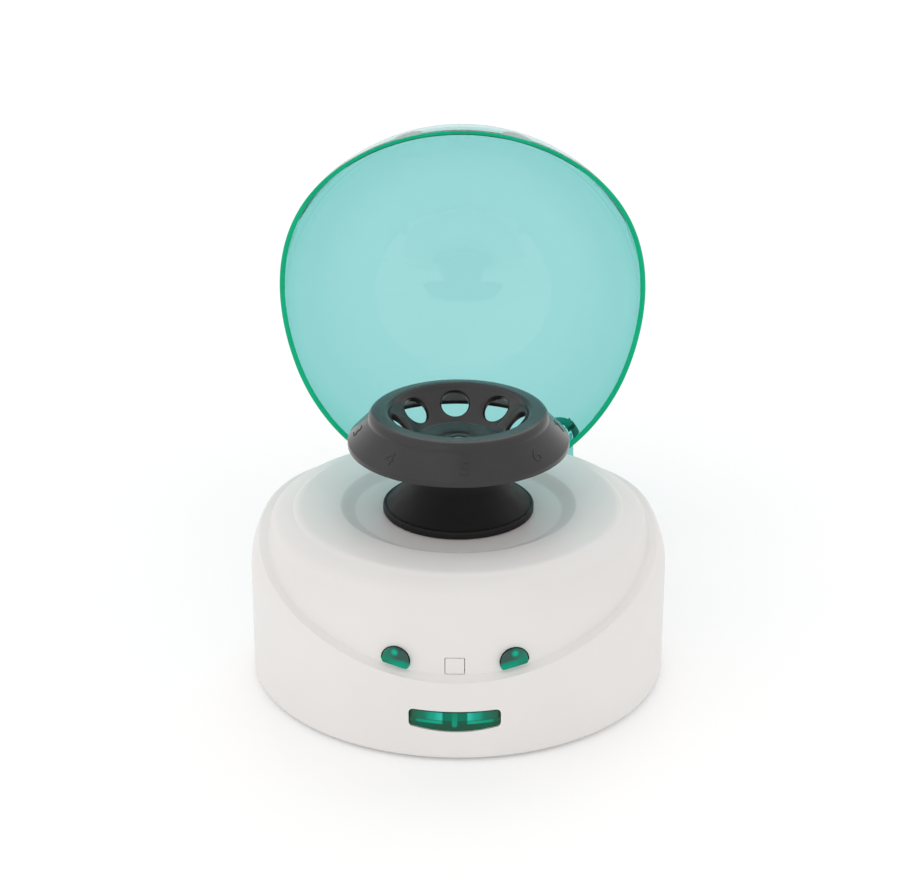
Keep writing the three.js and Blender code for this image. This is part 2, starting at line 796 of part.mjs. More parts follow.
function makeHingePin(side) {
  const tip = armInner - pinSeat;
  const headAt = armInner + armWidth + gap;
  const pin = barX(pinRadius, hingeY, hingeZ, tip, headAt, smallSides);
  const head = barX(pinHeadRadius, hingeY, hingeZ, headAt, headAt + pinHeadHeight, partSides);
  const made = pin.add(head);
  return side > 0 ? made : made.mirror([1, 0, 0]);
}

function makeButton() {
  const frontY = -(bodyRadius - buttonRecess);
  const outerRound = barZ(bodyRadius - buttonRecess, 0, 0, 0, wallTop, bodySides);
  const innerRound = barZ(bodyRadius - buttonRecess - buttonWall, 0, 0, 0, wallTop, bodySides);
  const backY = yokeFrontY - gap;
  const skin = alongY(buttonOutline(0), frontY - overrun, backY).intersect(outerRound);
  const core = alongY(buttonOutline(-buttonWall), frontY - overrun, backY + overrun);
  const ribs = [-1, 1].map((side) => block(
    [side * buttonRibX - buttonRibWidth / 2, frontY, buttonBaseZ - buttonBaseSag],
    [side * buttonRibX + buttonRibWidth / 2, backY, buttonTopZ]));
  const post = barY(buttonPostRadius, 0, buttonPostZ, frontY, backY, smallSides);
  const inside = joined([...ribs, post]).intersect(skin);
  return skin.subtract(core.intersect(innerRound)).add(inside);
}

function makeYoke() {
  const bar = block([-yokeHalfWidth, yokeFrontY, crossbarBaseZ], [yokeHalfWidth, yokeBackY, crossbarTopZ]);
  const stem = block([-stemHalfWidth, yokeFrontY, stemBaseZ], [stemHalfWidth, yokeBackY, crossbarTopZ]);
  const plate = block(
    [-buttonPlateHalf, yokeFrontY, stemBaseZ], [buttonPlateHalf, yokeBackY, buttonTopZ - buttonWall]);
  const parts = [bar, stem, plate];
  const outerRound = barZ(faceRadius + noseProud, 0, 0, 0, shoulderTop, bodySides);
  const innerRound = barZ(faceRadius + noseProud - noseWall, 0, 0, 0, shoulderTop, bodySides);
  for (const side of [-1, 1]) {
    const [low, high] = spanX(side, yokeUprightX, yokeHalfWidth);
    parts.push(block([low, yokeFrontY, crossbarBaseZ], [high, yokeBackY, yokeTopZ]));
  }
  let yoke = joined(parts);
  for (const side of [-1, 1]) {
    const nose = alongY(noseOutline(side, 0), -bodyRadius, yokeBackY).intersect(outerRound);
    const core = alongY(noseOutline(side, -noseWall), -bodyRadius, yokeBackY + overrun);
    const postZ = noseFlatZ + nosePostRise;
    const post = barY(nosePostRadius, side * noseX, postZ, -bodyRadius, yokeBackY, smallSides);
    yoke = yoke.add(nose).subtract(core.intersect(innerRound)).add(post.intersect(outerRound));
  }
  return yoke;
}

// Return spring at its pressed length, seated on the rail's end wall
class Coil extends THREE.Curve {
  constructor(length) {
    super();
    this.length = length;
  }

  getPoint(share) {
    const angle = 2 * Math.PI * springTurns * share;
    const [x, z] = [springRadius * Math.cos(angle), springRadius * Math.sin(angle)];
    return new THREE.Vector3(x, this.length * share, z);
  }
}

function makeSpring(side) {
  const backY = railBackY - railThickness - gap - springWire;
  const frontY = yokeBackY + releaseTravel + gap + springWire;
  const round = new THREE.EllipseCurve(0, 0, springWire, springWire);
  const section = new THREE.Shape(round.getPoints(springSides).slice(0, -1));
  const path = { steps: springSteps * springTurns, extrudePath: new Coil(backY - frontY) };
  const centreZ = (crossbarBaseZ + crossbarTopZ) / 2;
  return solid(new THREE.ExtrudeGeometry(section, path).translate(side * springX, frontY, centreZ));
}

function makeTab() {
  const band = barZ(faceRadius, 0, 0, tabBaseZ, tabTopZ, bodySides)
    .subtract(barZ(faceInnerRadius, 0, 0, tabBaseZ - overrun, tabTopZ + overrun, bodySides));
  const window = block([-tabHalfWidth, -bodyRadius, tabBaseZ], [tabHalfWidth, yokeFrontY, tabTopZ]);
  const stemEnd = switchFrontY - plungerProud - gap;
  const stem = block(
    [-tabStemHalf, -faceRadius + bodyWall / 2, tabStemZ - tabStemHalf],
    [tabStemHalf, stemEnd, tabStemZ + tabStemHalf]);
  return band.intersect(window).add(stem);
}

function makeSwitch() {
  const baseZ = shelfTopZ + gap;
  const body = block(
    [-switchHalfWidth, switchFrontY, baseZ],
    [switchHalfWidth, switchFrontY + switchDepth, baseZ + switchHeight]);
  const wellEnd = switchFrontY + plungerInside + plungerTravel + gap;
  return body.subtract(barY(plungerRadius + gap, 0, tabStemZ, switchFrontY - overrun, wellEnd, smallSides));
}

function makePlunger() {
  const frontY = switchFrontY - plungerProud;
  return barY(plungerRadius, 0, tabStemZ, frontY, switchFrontY + plungerInside, smallSides);
}

// Screw pointing up, its head at the bottom, with a hexagonal socket
function screw(headRadius, headHeight, shank, length) {
  const body = turned([
    [0, 0], [headRadius, 0], [headRadius, headHeight], [shank, headHeight],
    [shank, headHeight + length], [0, headHeight + length],
  ], smallSides);
  return body.subtract(barZ(screwSocket, 0, 0, -overrun, screwSocketDepth, socketSides));
}

function makeCover() {
  const underside = bodyBaseZ - overrun;
  let cover = barZ(innerRadius - coverGap, 0, 0, bodyBaseZ, coverTopZ, bodySides);
  for (const [x, y] of footPlaces) {
    cover = cover.add(barZ(footRadius + gap + footBossWall, x, y, bodyBaseZ, coverTopZ + footBossRise));
    cover = cover.subtract(barZ(footRadius + gap, x, y, underside, bodyBaseZ + footInside + gap));
  }
  for (const [x, y] of bossPlaces) {
    const head = barZ(screwHeadRadius + gap, x, y, underside, bodyBaseZ + counterbore, smallSides);
    const shank = barZ(screwHole, x, y, bodyBaseZ, coverTopZ + overrun, smallSides);
    cover = cover.subtract(head).subtract(shank);
  }
  for (const [x, y] of boardPosts) {
    const postTop = coverTopZ + boardStand;
    const post = barZ(boardPostRadius, x, y, bodyBaseZ + coverThickness / 2, postTop, smallSides);
    cover = cover.add(post).subtract(barZ(boardScrewHole, x, y, coverTopZ, postTop + overrun, smallSides));
  }
  for (let k = 0; k < ventCount; k += 1) {
    const slot = block(
      [ventInner, -ventWidth / 2, underside],
      [ventInner + ventLength, ventWidth / 2, coverTopZ + overrun]);
    cover = cover.subtract(slot.rotate([0, 0, (360 * (k + 0.5)) / ventCount]));
  }
  return cover;
}

function makeFoot() {
  return turned([
    [0, 0], [footRadius - footChamfer, 0], [footRadius, footChamfer],
    [footRadius, bodyBaseZ + footInside], [0, bodyBaseZ + footInside],
  ], partSides);
}

function makeMotor() {
  const can = turned([
    [0, motorBaseZ], [motorRadius - motorEdge, motorBaseZ], [motorRadius, motorBaseZ + motorEdge],
    [motorRadius, motorTopZ - motorEdge], [motorRadius - motorEdge, motorTopZ], [motorNose, motorTopZ],
    [motorNose, motorTopZ + motorNoseHeight], [0, motorTopZ + motorNoseHeight],
  ], rotorSides);
  const holes = motorScrewPlaces.map(([x, y]) => (
    barZ(boardScrewHole, x, y, motorTopZ - motorScrewLength, motorTopZ + overrun, smallSides)));
  return cutBy(can, [barZ(shaftBore, 0, 0, motorTopZ - shaftInMotor - gap, shaftTop, smallSides), ...holes]);
}

function makeMotorPlate() {
  const plate = barZ(motorPlateRadius, 0, 0, motorPlateZ, plateTopZ, rotorSides);
  const holes = [barZ(motorNose + gap, 0, 0, motorPlateZ - overrun, plateTopZ + overrun)];
  for (const [x, y] of damperPlaces) {
    holes.push(barZ(screwHole, x, y, motorPlateZ - overrun, plateTopZ + overrun, smallSides));
  }
  for (const [x, y] of motorScrewPlaces) {
    holes.push(barZ(boardScrewHole, x, y, motorPlateZ - overrun, plateTopZ + overrun, smallSides));
  }
  return cutBy(plate, holes);
}

function makeDamper([x, y]) {
  const ring = barZ(damperRadius, x, y, plateTopZ + gap, damperTopZ);
  return ring.subtract(barZ(screwHole, x, y, plateTopZ, damperTopZ + overrun, smallSides));
}

function makeBoot() {
  const baseZ = bowlFloorZ + gap;
  const outer = [
    [bootFlangeRadius, baseZ], [bootFlangeRadius, baseZ + bootFlangeHeight],
    [bootStepRadius, baseZ + bootFlangeHeight], [bootStepRadius, baseZ + bootStepHeight],
    [bootRingRadius, baseZ + bootStepHeight], [bootRingRadius, baseZ + bootRingHeight],
    ...bend([bootRingRadius, baseZ + bootRingHeight], [bootWaistRadius + bootWall, baseZ + bootRingHeight],
      [bootWaistRadius, bootWaistZ], 2),
    ...bend([bootWaistRadius, bootWaistZ], [bootThroatRadius + bootWall, (bootWaistZ + bootThroatZ) / 2],
      [bootThroatRadius, bootThroatZ], 2),
    ...bend([bootThroatRadius, bootThroatZ], [bootTopRadius, (bootThroatZ + bootTopZ) / 2],
      [bootTopRadius, bootTopZ], 2),
  ];
  const inner = [
    [bootTopRadius - bootWall, bootTopZ],
    [bootThroatRadius - bootWall, bootThroatZ - bootWall / 2],
    [bootWaistRadius - bootWall, bootWaistZ - bootWall],
    [throatRadius, baseZ + bootStepHeight], [throatRadius, baseZ],
  ];
  return turned([...outer, ...inner], rotorSides);
}

function makeRotor() {
  const drop = rotorWall * Math.SQRT1_2;
  const skirtFoot = rotorRadius - rotorWall;
  const body = turned([
    [shaftBore, hubBaseZ], [hubRadius, hubBaseZ], [hubRadius, rotorFloorZ - 2 * rotorWall],
    [rotorFloorRadius, rotorFloorZ - 2 * drop], [rotorMouthRadius + drop, rotorMouthZ - drop],
    [rotorLipRadius - drop, rotorLipBaseZ - drop], [skirtFoot, rotorBaseZ + rotorBand - drop / 2],
    [skirtFoot, rotorBaseZ], [rotorRadius, rotorBaseZ], [rotorRadius, rotorBaseZ + rotorBand],
    [rotorLipRadius, rotorLipBaseZ],
    ...bend([rotorLipRadius, rotorLipBaseZ], [rotorLipRadius, rotorLipTopZ],
      [rotorLipFlat, rotorLipTopZ], 4),
    [rotorLipInner, rotorLipTopZ],
    ...bend([rotorLipInner, rotorLipTopZ], [(rotorLipInner + rotorMouthRadius) / 2, rotorLipTopZ],
      [rotorMouthRadius, rotorMouthZ], 2),
    [rotorFloorRadius, rotorFloorZ], [hubRadius, rotorFloorZ - rotorWall / 2],
    [hubRadius, hubTopZ], [hubSocketRadius, hubTopZ], [hubSocketRadius, hubTopZ - hubSocketDepth],
    [shaftBore, hubTopZ - hubSocketDepth],
  ], rotorSides);
  const slope = Math.atan2(rotorMouthZ - rotorFloorZ, rotorMouthRadius - rotorFloorRadius);
  const holeZ = rotorFloorZ + (tubeHoleRing - rotorFloorRadius) * Math.tan(slope);
  const reach = 2 * rotorWall;
  const tilt = -THREE.MathUtils.radToDeg(slope);
  const hole = barZ(tubeHoleRadius, 0, 0, -reach, reach, holeSides).rotate([0, tilt, 0]);
  const holes = [];
  for (let k = 0; k < tubeHoles; k += 1) {
    const turn = (360 * k) / tubeHoles - 90;
    holes.push(hole.translate([tubeHoleRing, 0, holeZ]).rotate([0, 0, turn]));
  }
  return cutBy(body, holes);
}

function makeShaft() {
  return barZ(shaftRadius, 0, 0, motorTopZ - shaftInMotor, shaftTop, smallSides);
}

// Screw that clamps the rotor on the shaft, head up
function makeRotorScrew() {
  const seat = hubTopZ - hubSocketDepth + gap;
  const made = screw(hubSocketRadius - gap, rotorScrewHeadHeight, screwShank, rotorScrewLength);
  return made.mirror([0, 0, 1]).translate([0, 0, seat + rotorScrewHeadHeight]);
}

function makeInlet() {
  const frontY = rearPanelY + gap + inletLip;
  const body = block(
    [inletX - inletHalfWidth, rearPanelY - inletDepth, rearZ - inletHalfHeight],
    [inletX + inletHalfWidth, frontY, rearZ + inletHalfHeight]);
  const lip = block(
    [inletX - inletLipHalf, rearPanelY + gap, rearZ - inletLipHalf],
    [inletX + inletLipHalf, frontY, rearZ + inletLipHalf]);
  const bore = barY(inletBoreRadius, inletX, rearZ, frontY - inletBoreDepth, frontY + overrun);
  const pinBack = frontY - inletBoreDepth - inletPinRadius;
  const pin = barY(inletPinRadius, inletX, rearZ, pinBack, frontY - inletPinRadius, smallSides);
  return body.add(lip).subtract(bore).add(pin);
}

function makeSwitchFrame() {
  const frontY = rearPanelY + gap + frameLip;
  const body = block(
    [rockerX - frameBodyHalfWidth, rearPanelY - frameDepth, rearZ - frameBodyHalfHeight],
    [rockerX + frameBodyHalfWidth, frontY, rearZ + frameBodyHalfHeight]);
  const lip = block(
    [rockerX - frameHalfWidth, rearPanelY + gap, rearZ - frameHalfHeight],
    [rockerX + frameHalfWidth, frontY, rearZ + frameHalfHeight]);
  const well = block(
    [rockerX - frameWellHalfWidth, frontY - frameWellDepth, rearZ - frameWellHalfHeight],
    [rockerX + frameWellHalfWidth, frontY + overrun, rearZ + frameWellHalfHeight]);
  const pinHole = barZ(rockerPinRadius + gap, rockerX, rockerPivotY - rockerThickness / 2,
    rearZ - rockerPinReach - gap, rearZ + rockerPinReach + gap, smallSides);
  return body.add(lip).subtract(well).subtract(pinHole);
}

// Rocker about its own pivot, untilted
function makeRocker() {
  const face = rockerThickness / 2 + rockerDish;
  const plate = alongZ([
    [-rockerHalfLength, -rockerThickness / 2], [rockerHalfLength, -rockerThickness / 2],
    [rockerHalfLength, face], [0, face - rockerDish], [-rockerHalfLength, face],
  ], -rockerHalfHeight, rockerHalfHeight);
  return plate.add(barZ(rockerPinRadius, 0, 0, -rockerPinReach, rockerPinReach, smallSides));
}

function makeBoard() {
  const board = block([-boardHalfWidth, boardFrontY, boardZ], [boardHalfWidth, boardRearY, boardTopZ]);
  return cutBy(board, boardPosts.map(([x, y]) => (
    barZ(boardScrewHole, x, y, boardZ - overrun, boardTopZ + overrun, smallSides))));
}

function boardBlock(x, y, width, depth, height) {
  const baseZ = boardTopZ + gap;
  return block([x - width / 2, y - depth / 2, baseZ], [x + width / 2, y + depth / 2, baseZ + height]);
}

// Finishes
const finishes = {
  housing: { color: 0xe6e2e0, roughness: 0.38, metalness: 0 },
  cover: { color: 0xd8d5d2, roughness: 0.55, metalness: 0 },
  lid: { color: 0x6fc9bd, roughness: 0.06, metalness: 0, transparent: true, opacity: 0.45 },
  green: { color: 0x008f6c, roughness: 0.12, metalness: 0, transparent: true, opacity: 0.85 },
  rotor: { color: 0x464444, roughness: 0.42, metalness: 0 },
  rubber: { color: 0x242222, roughness: 0.75, metalness: 0 },
  steel: { color: 0xb8bbbd, roughness: 0.3, metalness: 1 },
  can: { color: 0x9a9da0, roughness: 0.35, metalness: 1 },
  black: { color: 0x1c1c1e, roughness: 0.5, metalness: 0 },
  board: { color: 0x1f5a34, roughness: 0.5, metalness: 0 },
  white: { color: 0xe9e6e0, roughness: 0.5, metalness: 0 },
};

function piece(name, body, finish) {
  const mesh = new THREE.Mesh(geometryOf(body), new THREE.MeshStandardMaterial(finishes[finish]));
  mesh.name = name;
  return mesh;
}

const centrifuge = new THREE.Group();

// Body and what is fixed in it
centrifuge.add(
  piece('housing', makeHousing(), 'housing'),
  piece('bottom_cover', makeCover(), 'cover'),
  piece('boot', makeBoot(), 'rubber'),
  piece('motor', makeMotor(), 'can'),
  piece('motor_plate', makeMotorPlate(), 'steel'),
  piece('lid_switch', makeSwitch(), 'black'),
  piece('control_board', makeBoard(), 'board'),
  piece('board_capacitor', barZ(capacitorRadius, capacitorX, boardRearY - capacitorAhead, boardTopZ + gap,
    boardTopZ + gap + capacitorHeight), 'black'),
  piece('board_regulator', boardBlock(regulatorX, boardRearY - regulatorAhead, regulatorWidth,
    regulatorDepth, regulatorHeight), 'black'),
  piece('board_connector', boardBlock(connectorX, boardRearY - connectorAhead, connectorWidth,
    connectorDepth, connectorHeight), 'white'),
  piece('power_inlet', makeInlet(), 'black'),
  piece('power_switch_frame', makeSwitchFrame(), 'black'),
  piece('hinge_pin_left', makeHingePin(-1), 'steel'),
  piece('hinge_pin_right', makeHingePin(1), 'steel'),
  piece('release_spring_left', makeSpring(-1), 'steel'),
  piece('release_spring_right', makeSpring(1), 'steel'),
);

footPlaces.forEach(([x, y], k) => {
  const foot = piece(`foot_${k + 1}`, makeFoot(), 'rubber');
  foot.position.set(x, y, 0);
  centrifuge.add(foot);
});

bossPlaces.forEach(([x, y], k) => {
  const made = screw(screwHeadRadius, screwHeadHeight, screwShank, screwLength);
  const coverScrew = piece(`cover_screw_${k + 1}`, made, 'steel');
  coverScrew.position.set(x, y, bodyBaseZ + counterbore - gap - screwHeadHeight);
  centrifuge.add(coverScrew);
});

damperPlaces.forEach((place, k) => {
  centrifuge.add(piece(`motor_damper_${k + 1}`, makeDamper(place), 'rubber'));
  const made = screw(screwHeadRadius, screwHeadHeight, screwShank, plateScrewLength);
  const plateScrew = piece(`plate_screw_${k + 1}`, made, 'steel');
  plateScrew.position.set(...place, motorPlateZ - gap - screwHeadHeight);
  centrifuge.add(plateScrew);
});

motorScrewPlaces.forEach(([x, y], k) => {
  const made = screw(boardScrewHead, screwHeadHeight, boardScrewShank, motorScrewLength);
  const motorScrew = piece(`motor_screw_${k + 1}`, made.mirror([0, 0, 1]), 'steel');
  motorScrew.position.set(x, y, plateTopZ + gap + screwHeadHeight);
  centrifuge.add(motorScrew);
});

boardPosts.forEach(([x, y], k) => {
  const made = screw(boardScrewHead, screwHeadHeight, boardScrewShank, boardScrewLength);
  const boardScrew = piece(`board_screw_${k + 1}`, made.mirror([0, 0, 1]), 'steel');
  boardScrew.position.set(x, y, boardTopZ + gap + screwHeadHeight);
  centrifuge.add(boardScrew);
});

// Lid, modelled closed and turned open about its hinge
const lidHinge = new THREE.Group();
lidHinge.position.set(0, hingeY, hingeZ);
lidHinge.rotation.x = -THREE.MathUtils.degToRad(lidOpenDeg);
lidHinge.add(piece('lid', makeLid(), 'lid'));
centrifuge.add(lidHinge);

// What spins
const spindle = new THREE.Group();
spindle.rotation.z = THREE.MathUtils.degToRad(rotorRestDeg);
spindle.add(
  piece('rotor', makeRotor(), 'rotor'),
  piece('motor_shaft', makeShaft(), 'steel'),
  piece('rotor_screw', makeRotorScrew(), 'steel'),
);
centrifuge.add(spindle);

// Lid release, sensing tab and power rocker
const rocker = piece('power_rocker', makeRocker(), 'black');
rocker.position.set(rockerX, rockerPivotY - rockerThickness / 2, rearZ);
rocker.rotation.z = -THREE.MathUtils.degToRad(rockerTiltDeg);
centrifuge.add(
  piece('release_button', makeButton(), 'green'),
  piece('latch_yoke', makeYoke(), 'green'),
  piece('lid_tab', makeTab(), 'housing'),
  piece('switch_plunger', makePlunger(), 'white'),
  rocker,
);

export default centrifuge;
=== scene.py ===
# %% [markdown]
# # A mini centrifuge, dressed in Blender
# The measured model gives every piece its place and its joints. It is faceted, because it was
# made for measuring and for motion. This script keeps its places and gives each visible piece
# smooth walls, real edges and a finish. All lengths below are in millimetres, and `to_metres`
# turns them into Blender's metres at the last moment.

import math

import bmesh
import bpy
import numpy as np
from mathutils import Matrix, Vector


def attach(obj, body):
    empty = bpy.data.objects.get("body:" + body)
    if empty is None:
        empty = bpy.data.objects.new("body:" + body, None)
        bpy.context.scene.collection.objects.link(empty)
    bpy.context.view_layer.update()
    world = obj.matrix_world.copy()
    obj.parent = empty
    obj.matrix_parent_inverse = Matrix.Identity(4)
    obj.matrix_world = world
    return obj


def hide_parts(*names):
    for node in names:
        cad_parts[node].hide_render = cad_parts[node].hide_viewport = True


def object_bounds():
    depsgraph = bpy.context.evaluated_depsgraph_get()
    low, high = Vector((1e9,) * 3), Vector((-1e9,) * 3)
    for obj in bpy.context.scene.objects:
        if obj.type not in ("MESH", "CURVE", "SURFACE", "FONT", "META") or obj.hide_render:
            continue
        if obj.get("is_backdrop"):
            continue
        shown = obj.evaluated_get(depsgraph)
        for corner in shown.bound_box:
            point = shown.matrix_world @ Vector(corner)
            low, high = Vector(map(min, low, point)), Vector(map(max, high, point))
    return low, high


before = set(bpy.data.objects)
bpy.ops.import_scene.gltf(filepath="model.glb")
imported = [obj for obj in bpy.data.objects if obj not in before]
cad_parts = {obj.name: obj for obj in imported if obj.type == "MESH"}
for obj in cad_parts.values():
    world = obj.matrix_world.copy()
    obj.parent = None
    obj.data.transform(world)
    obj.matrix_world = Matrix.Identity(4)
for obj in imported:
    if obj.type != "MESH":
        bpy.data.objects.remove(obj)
cad_box = [list(corner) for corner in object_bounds()]
print("measured box in metres:", [[round(v, 4) for v in corner] for corner in cad_box])

# %% [markdown]
# ## The sizes that the round pieces share
# The body is a round wall with a shoulder arc above it. The lid carries the same arc on, and
# both meet along one curved seat line: low at the front, high at the sides. Both pieces take
# their radius and their seat line from the two functions here, so that they always meet.

# %% Shared sizes
MM, COLUMNS = 0.001, 240
BODY_RADIUS, WALL_TOP, SHOULDER_RADIUS = 80.0, 43.7, 37.75
SHOULDER_AXIS = BODY_RADIUS - SHOULDER_RADIUS
FACE_INSET, BODY_WALL, BASE_Z = 2.8, 2.4, 1.2
FACE_RADIUS = BODY_RADIUS - FACE_INSET
SEAT_FRONT_Z, SEAT_SIDE_Z, SEAT_REAR_DROP = 32.5, 63.0, 6.4
SEAT_BEND_Y, SEAT_REAR_Y, SEAT_POWER = 27.4, 10.0, 2.04
LID_WALL, LID_GAP, LID_DOME_Z, LID_TOP_Z = 2.2, 0.4, 61.6, 123.2
HINGE, PIN_HOLE, LID_OPEN = (0.0, 71.8, 42.4), 1.8, math.radians(93.6)


def to_metres(points):
    return np.asarray(points, float) * MM


def skin_radius(z, inset):
    """Radius of the skin at a height: a straight wall and then the shoulder arc."""
    rise = np.maximum(0.0, np.asarray(z, float) - WALL_TOP)
    return SHOULDER_AXIS + np.sqrt(np.maximum((SHOULDER_RADIUS - inset) ** 2 - rise**2, 0.0))


def seat_z(y):
    """Height of the seat line at a depth."""
    ahead = np.maximum(0.0, (SEAT_BEND_Y - y) / (SEAT_BEND_Y + BODY_RADIUS))
    behind = np.maximum(0.0, (y - SEAT_REAR_Y) / (BODY_RADIUS - SEAT_REAR_Y))
    dip = (SEAT_SIDE_Z - SEAT_FRONT_Z) * ahead**SEAT_POWER
    return SEAT_SIDE_Z - dip - SEAT_REAR_DROP * behind**2


print("seat line height, front and back:", seat_z(-80.0), round(float(seat_z(80.0)), 1))

# %% [markdown]
# ## Helpers that make meshes
# Most pieces of this object are turned or moulded. A turned piece is a grid: one closed column
# of points for each direction round the axis. A grid gives clean quads, so light runs smoothly
# over the wall, where a plain boolean of two solids would leave long thin faces. Booleans are
# kept for windows, holes and ribs, which are cut or joined after the grid is made.

# %% Meshes from points
def link(name, mesh):
    piece = bpy.data.objects.new(name, mesh)
    bpy.context.scene.collection.objects.link(piece)
    return piece


def face_outward(piece):
    work = bmesh.new()
    work.from_mesh(piece.data)
    bmesh.ops.recalc_face_normals(work, faces=work.faces)
    if work.calc_volume(signed=True) < 0:
        bmesh.ops.reverse_faces(work, faces=work.faces)
    work.to_mesh(piece.data)
    work.free()


def mesh_piece(name, points, faces):
    mesh = bpy.data.meshes.new(name)
    mesh.from_pydata([tuple(p) for p in to_metres(points)], [], faces)
    piece = link(name, mesh)
    face_outward(piece)
    return piece


def smooth(piece, degrees):
    """Shades a piece smooth, apart from the edges that bend by more than the angle."""
    piece.data.shade_smooth()
    piece.data.set_sharp_from_angle(angle=math.radians(degrees))
    return piece


print("each piece starts as points in millimetres")

# %% Grids and turned pieces
def grid_piece(name, columns, start_pole=None, end_pole=None):
    """columns[i][j] is point j of column i. Without poles, each column closes on itself."""
    columns = np.asarray(columns, float)
    count, rows = columns.shape[:2]
    points = list(columns.reshape(-1, 3))
    faces = []
    closed = start_pole is None and end_pole is None
    for i in range(count):
        after = (i + 1) % count
        for j in range(rows if closed else rows - 1):
            up = (j + 1) % rows
            faces.append((i * rows + j, after * rows + j, after * rows + up, i * rows + up))
    for pole, row in ((start_pole, 0), (end_pole, rows - 1)):
        if pole is None:
            continue
        tip = len(points)
        points.append(pole)
        for i in range(count):
            near, far = i * rows + row, ((i + 1) % count) * rows + row
            faces.append((tip, far, near) if row == 0 else (tip, near, far))
    return mesh_piece(name, points, faces)


def directions(count=COLUMNS):
    return [2 * math.pi * k / count for k in range(count)]


def upright(outline, angle):
    """An outline of [radius, height] points, stood up in one direction."""
    radius, height = outline[:, 0], outline[:, 1]
    return np.stack([radius * math.cos(angle), radius * math.sin(angle), height], 1)


def turned(name, profile, columns=COLUMNS):
    """A [radius, height] outline turned about the rotor's axis, open at the axis or closed."""
    outline = np.asarray(profile, float)
    solid = outline[0, 0] == 0
    poles = [(0, 0, outline[k, 1]) for k in (0, -1)] if solid else (None, None)
    outline = outline[1:-1] if solid else outline
    return grid_piece(name, [upright(outline, angle) for angle in directions(columns)], *poles)


def round_bar(radius, low, high, columns=256):
    """A plain bar about the rotor's axis, to cut with."""
    return turned("round_bar", [[0, low], [radius, low], [radius, high], [0, high]], columns)


print("a turned piece has", COLUMNS, "columns")

# %% Outlines and prisms
STRAIGHT_ENOUGH, SMALLEST_CUT, MOST_OF_A_SIDE = -0.985, 0.02, 0.45


def bend(start, through, end, steps):
    """Points of a quadratic curve, without its first point."""
    share = np.linspace(0, 1, steps + 1)[1:, None]
    start, through, end = map(np.asarray, (start, through, end))
    return (1 - share) ** 2 * start + 2 * share * (1 - share) * through + share**2 * end


def rounded(outline, radius, steps=4):
    """The outline with rounded corners. One on the axis or all but straight stays as it is."""
    outline = [np.asarray(p, float) for p in outline]
    made = []
    for k, corner in enumerate(outline):
        if k in (0, len(outline) - 1) and outline[0][0] == 0:
            made.append(corner)
            continue
        back, ahead = outline[k - 1] - corner, outline[(k + 1) % len(outline)] - corner
        reach_back, reach_ahead = np.linalg.norm(back), np.linalg.norm(ahead)
        turn = np.dot(back, ahead) / (reach_back * reach_ahead)
        cut = min(radius, MOST_OF_A_SIDE * reach_back, MOST_OF_A_SIDE * reach_ahead)
        if turn < STRAIGHT_ENOUGH or cut < SMALLEST_CUT:
            made.append(corner)
            continue
        start, end = corner + back / reach_back * cut, corner + ahead / reach_ahead * cut
        made.append(start)
        made.extend(bend(start, corner, end, steps))
    return np.array(made)


def prism(name, outline, axis, start, end):
    """An outline carried along an axis: X takes (y, z) and Y takes (x, z)."""
    outline = np.asarray(outline, float)
    first, second, along_axis = {"X": (1, 2, 0), "Y": (0, 2, 1)}[axis]
    count = len(outline)
    points = np.zeros((2, count, 3))
    points[:, :, first], points[:, :, second] = outline[:, 0], outline[:, 1]
    points[0, :, along_axis], points[1, :, along_axis] = start, end
    faces = [tuple(range(count)), tuple(range(2 * count - 1, count - 1, -1))]
    faces += [(k, (k + 1) % count, count + (k + 1) % count, count + k) for k in range(count)]
    return mesh_piece(name, points.reshape(-1, 3), faces)


def disc(radius, centre, count=32):
    angles = np.arange(count) * 2 * math.pi / count
    return np.stack([centre[0] + radius * np.cos(angles), centre[1] + radius * np.sin(angles)], 1)


def box_outline(low, high):
    (left, base), (right, top) = low, high
    return np.array([[left, base], [right, base], [right, top], [left, top]], float)


print("a disc has", len(disc(1, (0, 0))), "corners")

# %% Cutting and joining
def carve(piece, *tools, how="DIFFERENCE"):
    """Cuts, joins or keeps what the tools share, and removes the tools."""
    for tool in tools:
        step = piece.modifiers.new("carve", "BOOLEAN")
        step.operation, step.object, step.solver = how, tool, "EXACT"
        seen = piece.evaluated_get(bpy.context.evaluated_depsgraph_get())
        mesh = bpy.data.meshes.new_from_object(seen)
        piece.modifiers.clear()
        piece.data = mesh
        bpy.data.objects.remove(tool)
    return piece


print("helpers ready")

# %% [markdown]
# ## The camera
# The photograph was taken from 0.8 m away, from an eye height 23 degrees above the bench. The
# lens follows from the body's stated width of 160 mm. The camera is made first, so that every
# later step can be looked at from the same place.

# %% Camera
lens = bpy.data.cameras.new("bench_camera")
lens.lens, lens.sensor_width = 91.7, 36.0
lens.clip_start, lens.clip_end = 0.05, 20.0
camera = bpy.data.objects.new("bench_camera", lens)
bpy.context.scene.collection.objects.link(camera)
camera.location = (0.01231, -0.79991, 0.4294)
camera.rotation_euler = (math.radians(67.02), 0.0, math.radians(1.154))
bpy.context.scene.camera = camera
print("camera at", [round(v, 3) for v in camera.location])

# %% [markdown]
# ## The body
# The real body is one moulding: a wall, a ledge for the lid's rim, a face, a deck and a bowl.
# It could be put together from turned solids, but the ledge climbs with the seat line, so it is
# different in each direction. Every column of the grid therefore starts under the wall, climbs
# it to the seat line, steps in over the ledge, climbs the face, crosses the deck, goes down into
# the bowl and comes back inside the wall's thickness. Only the windows are cut out afterwards.

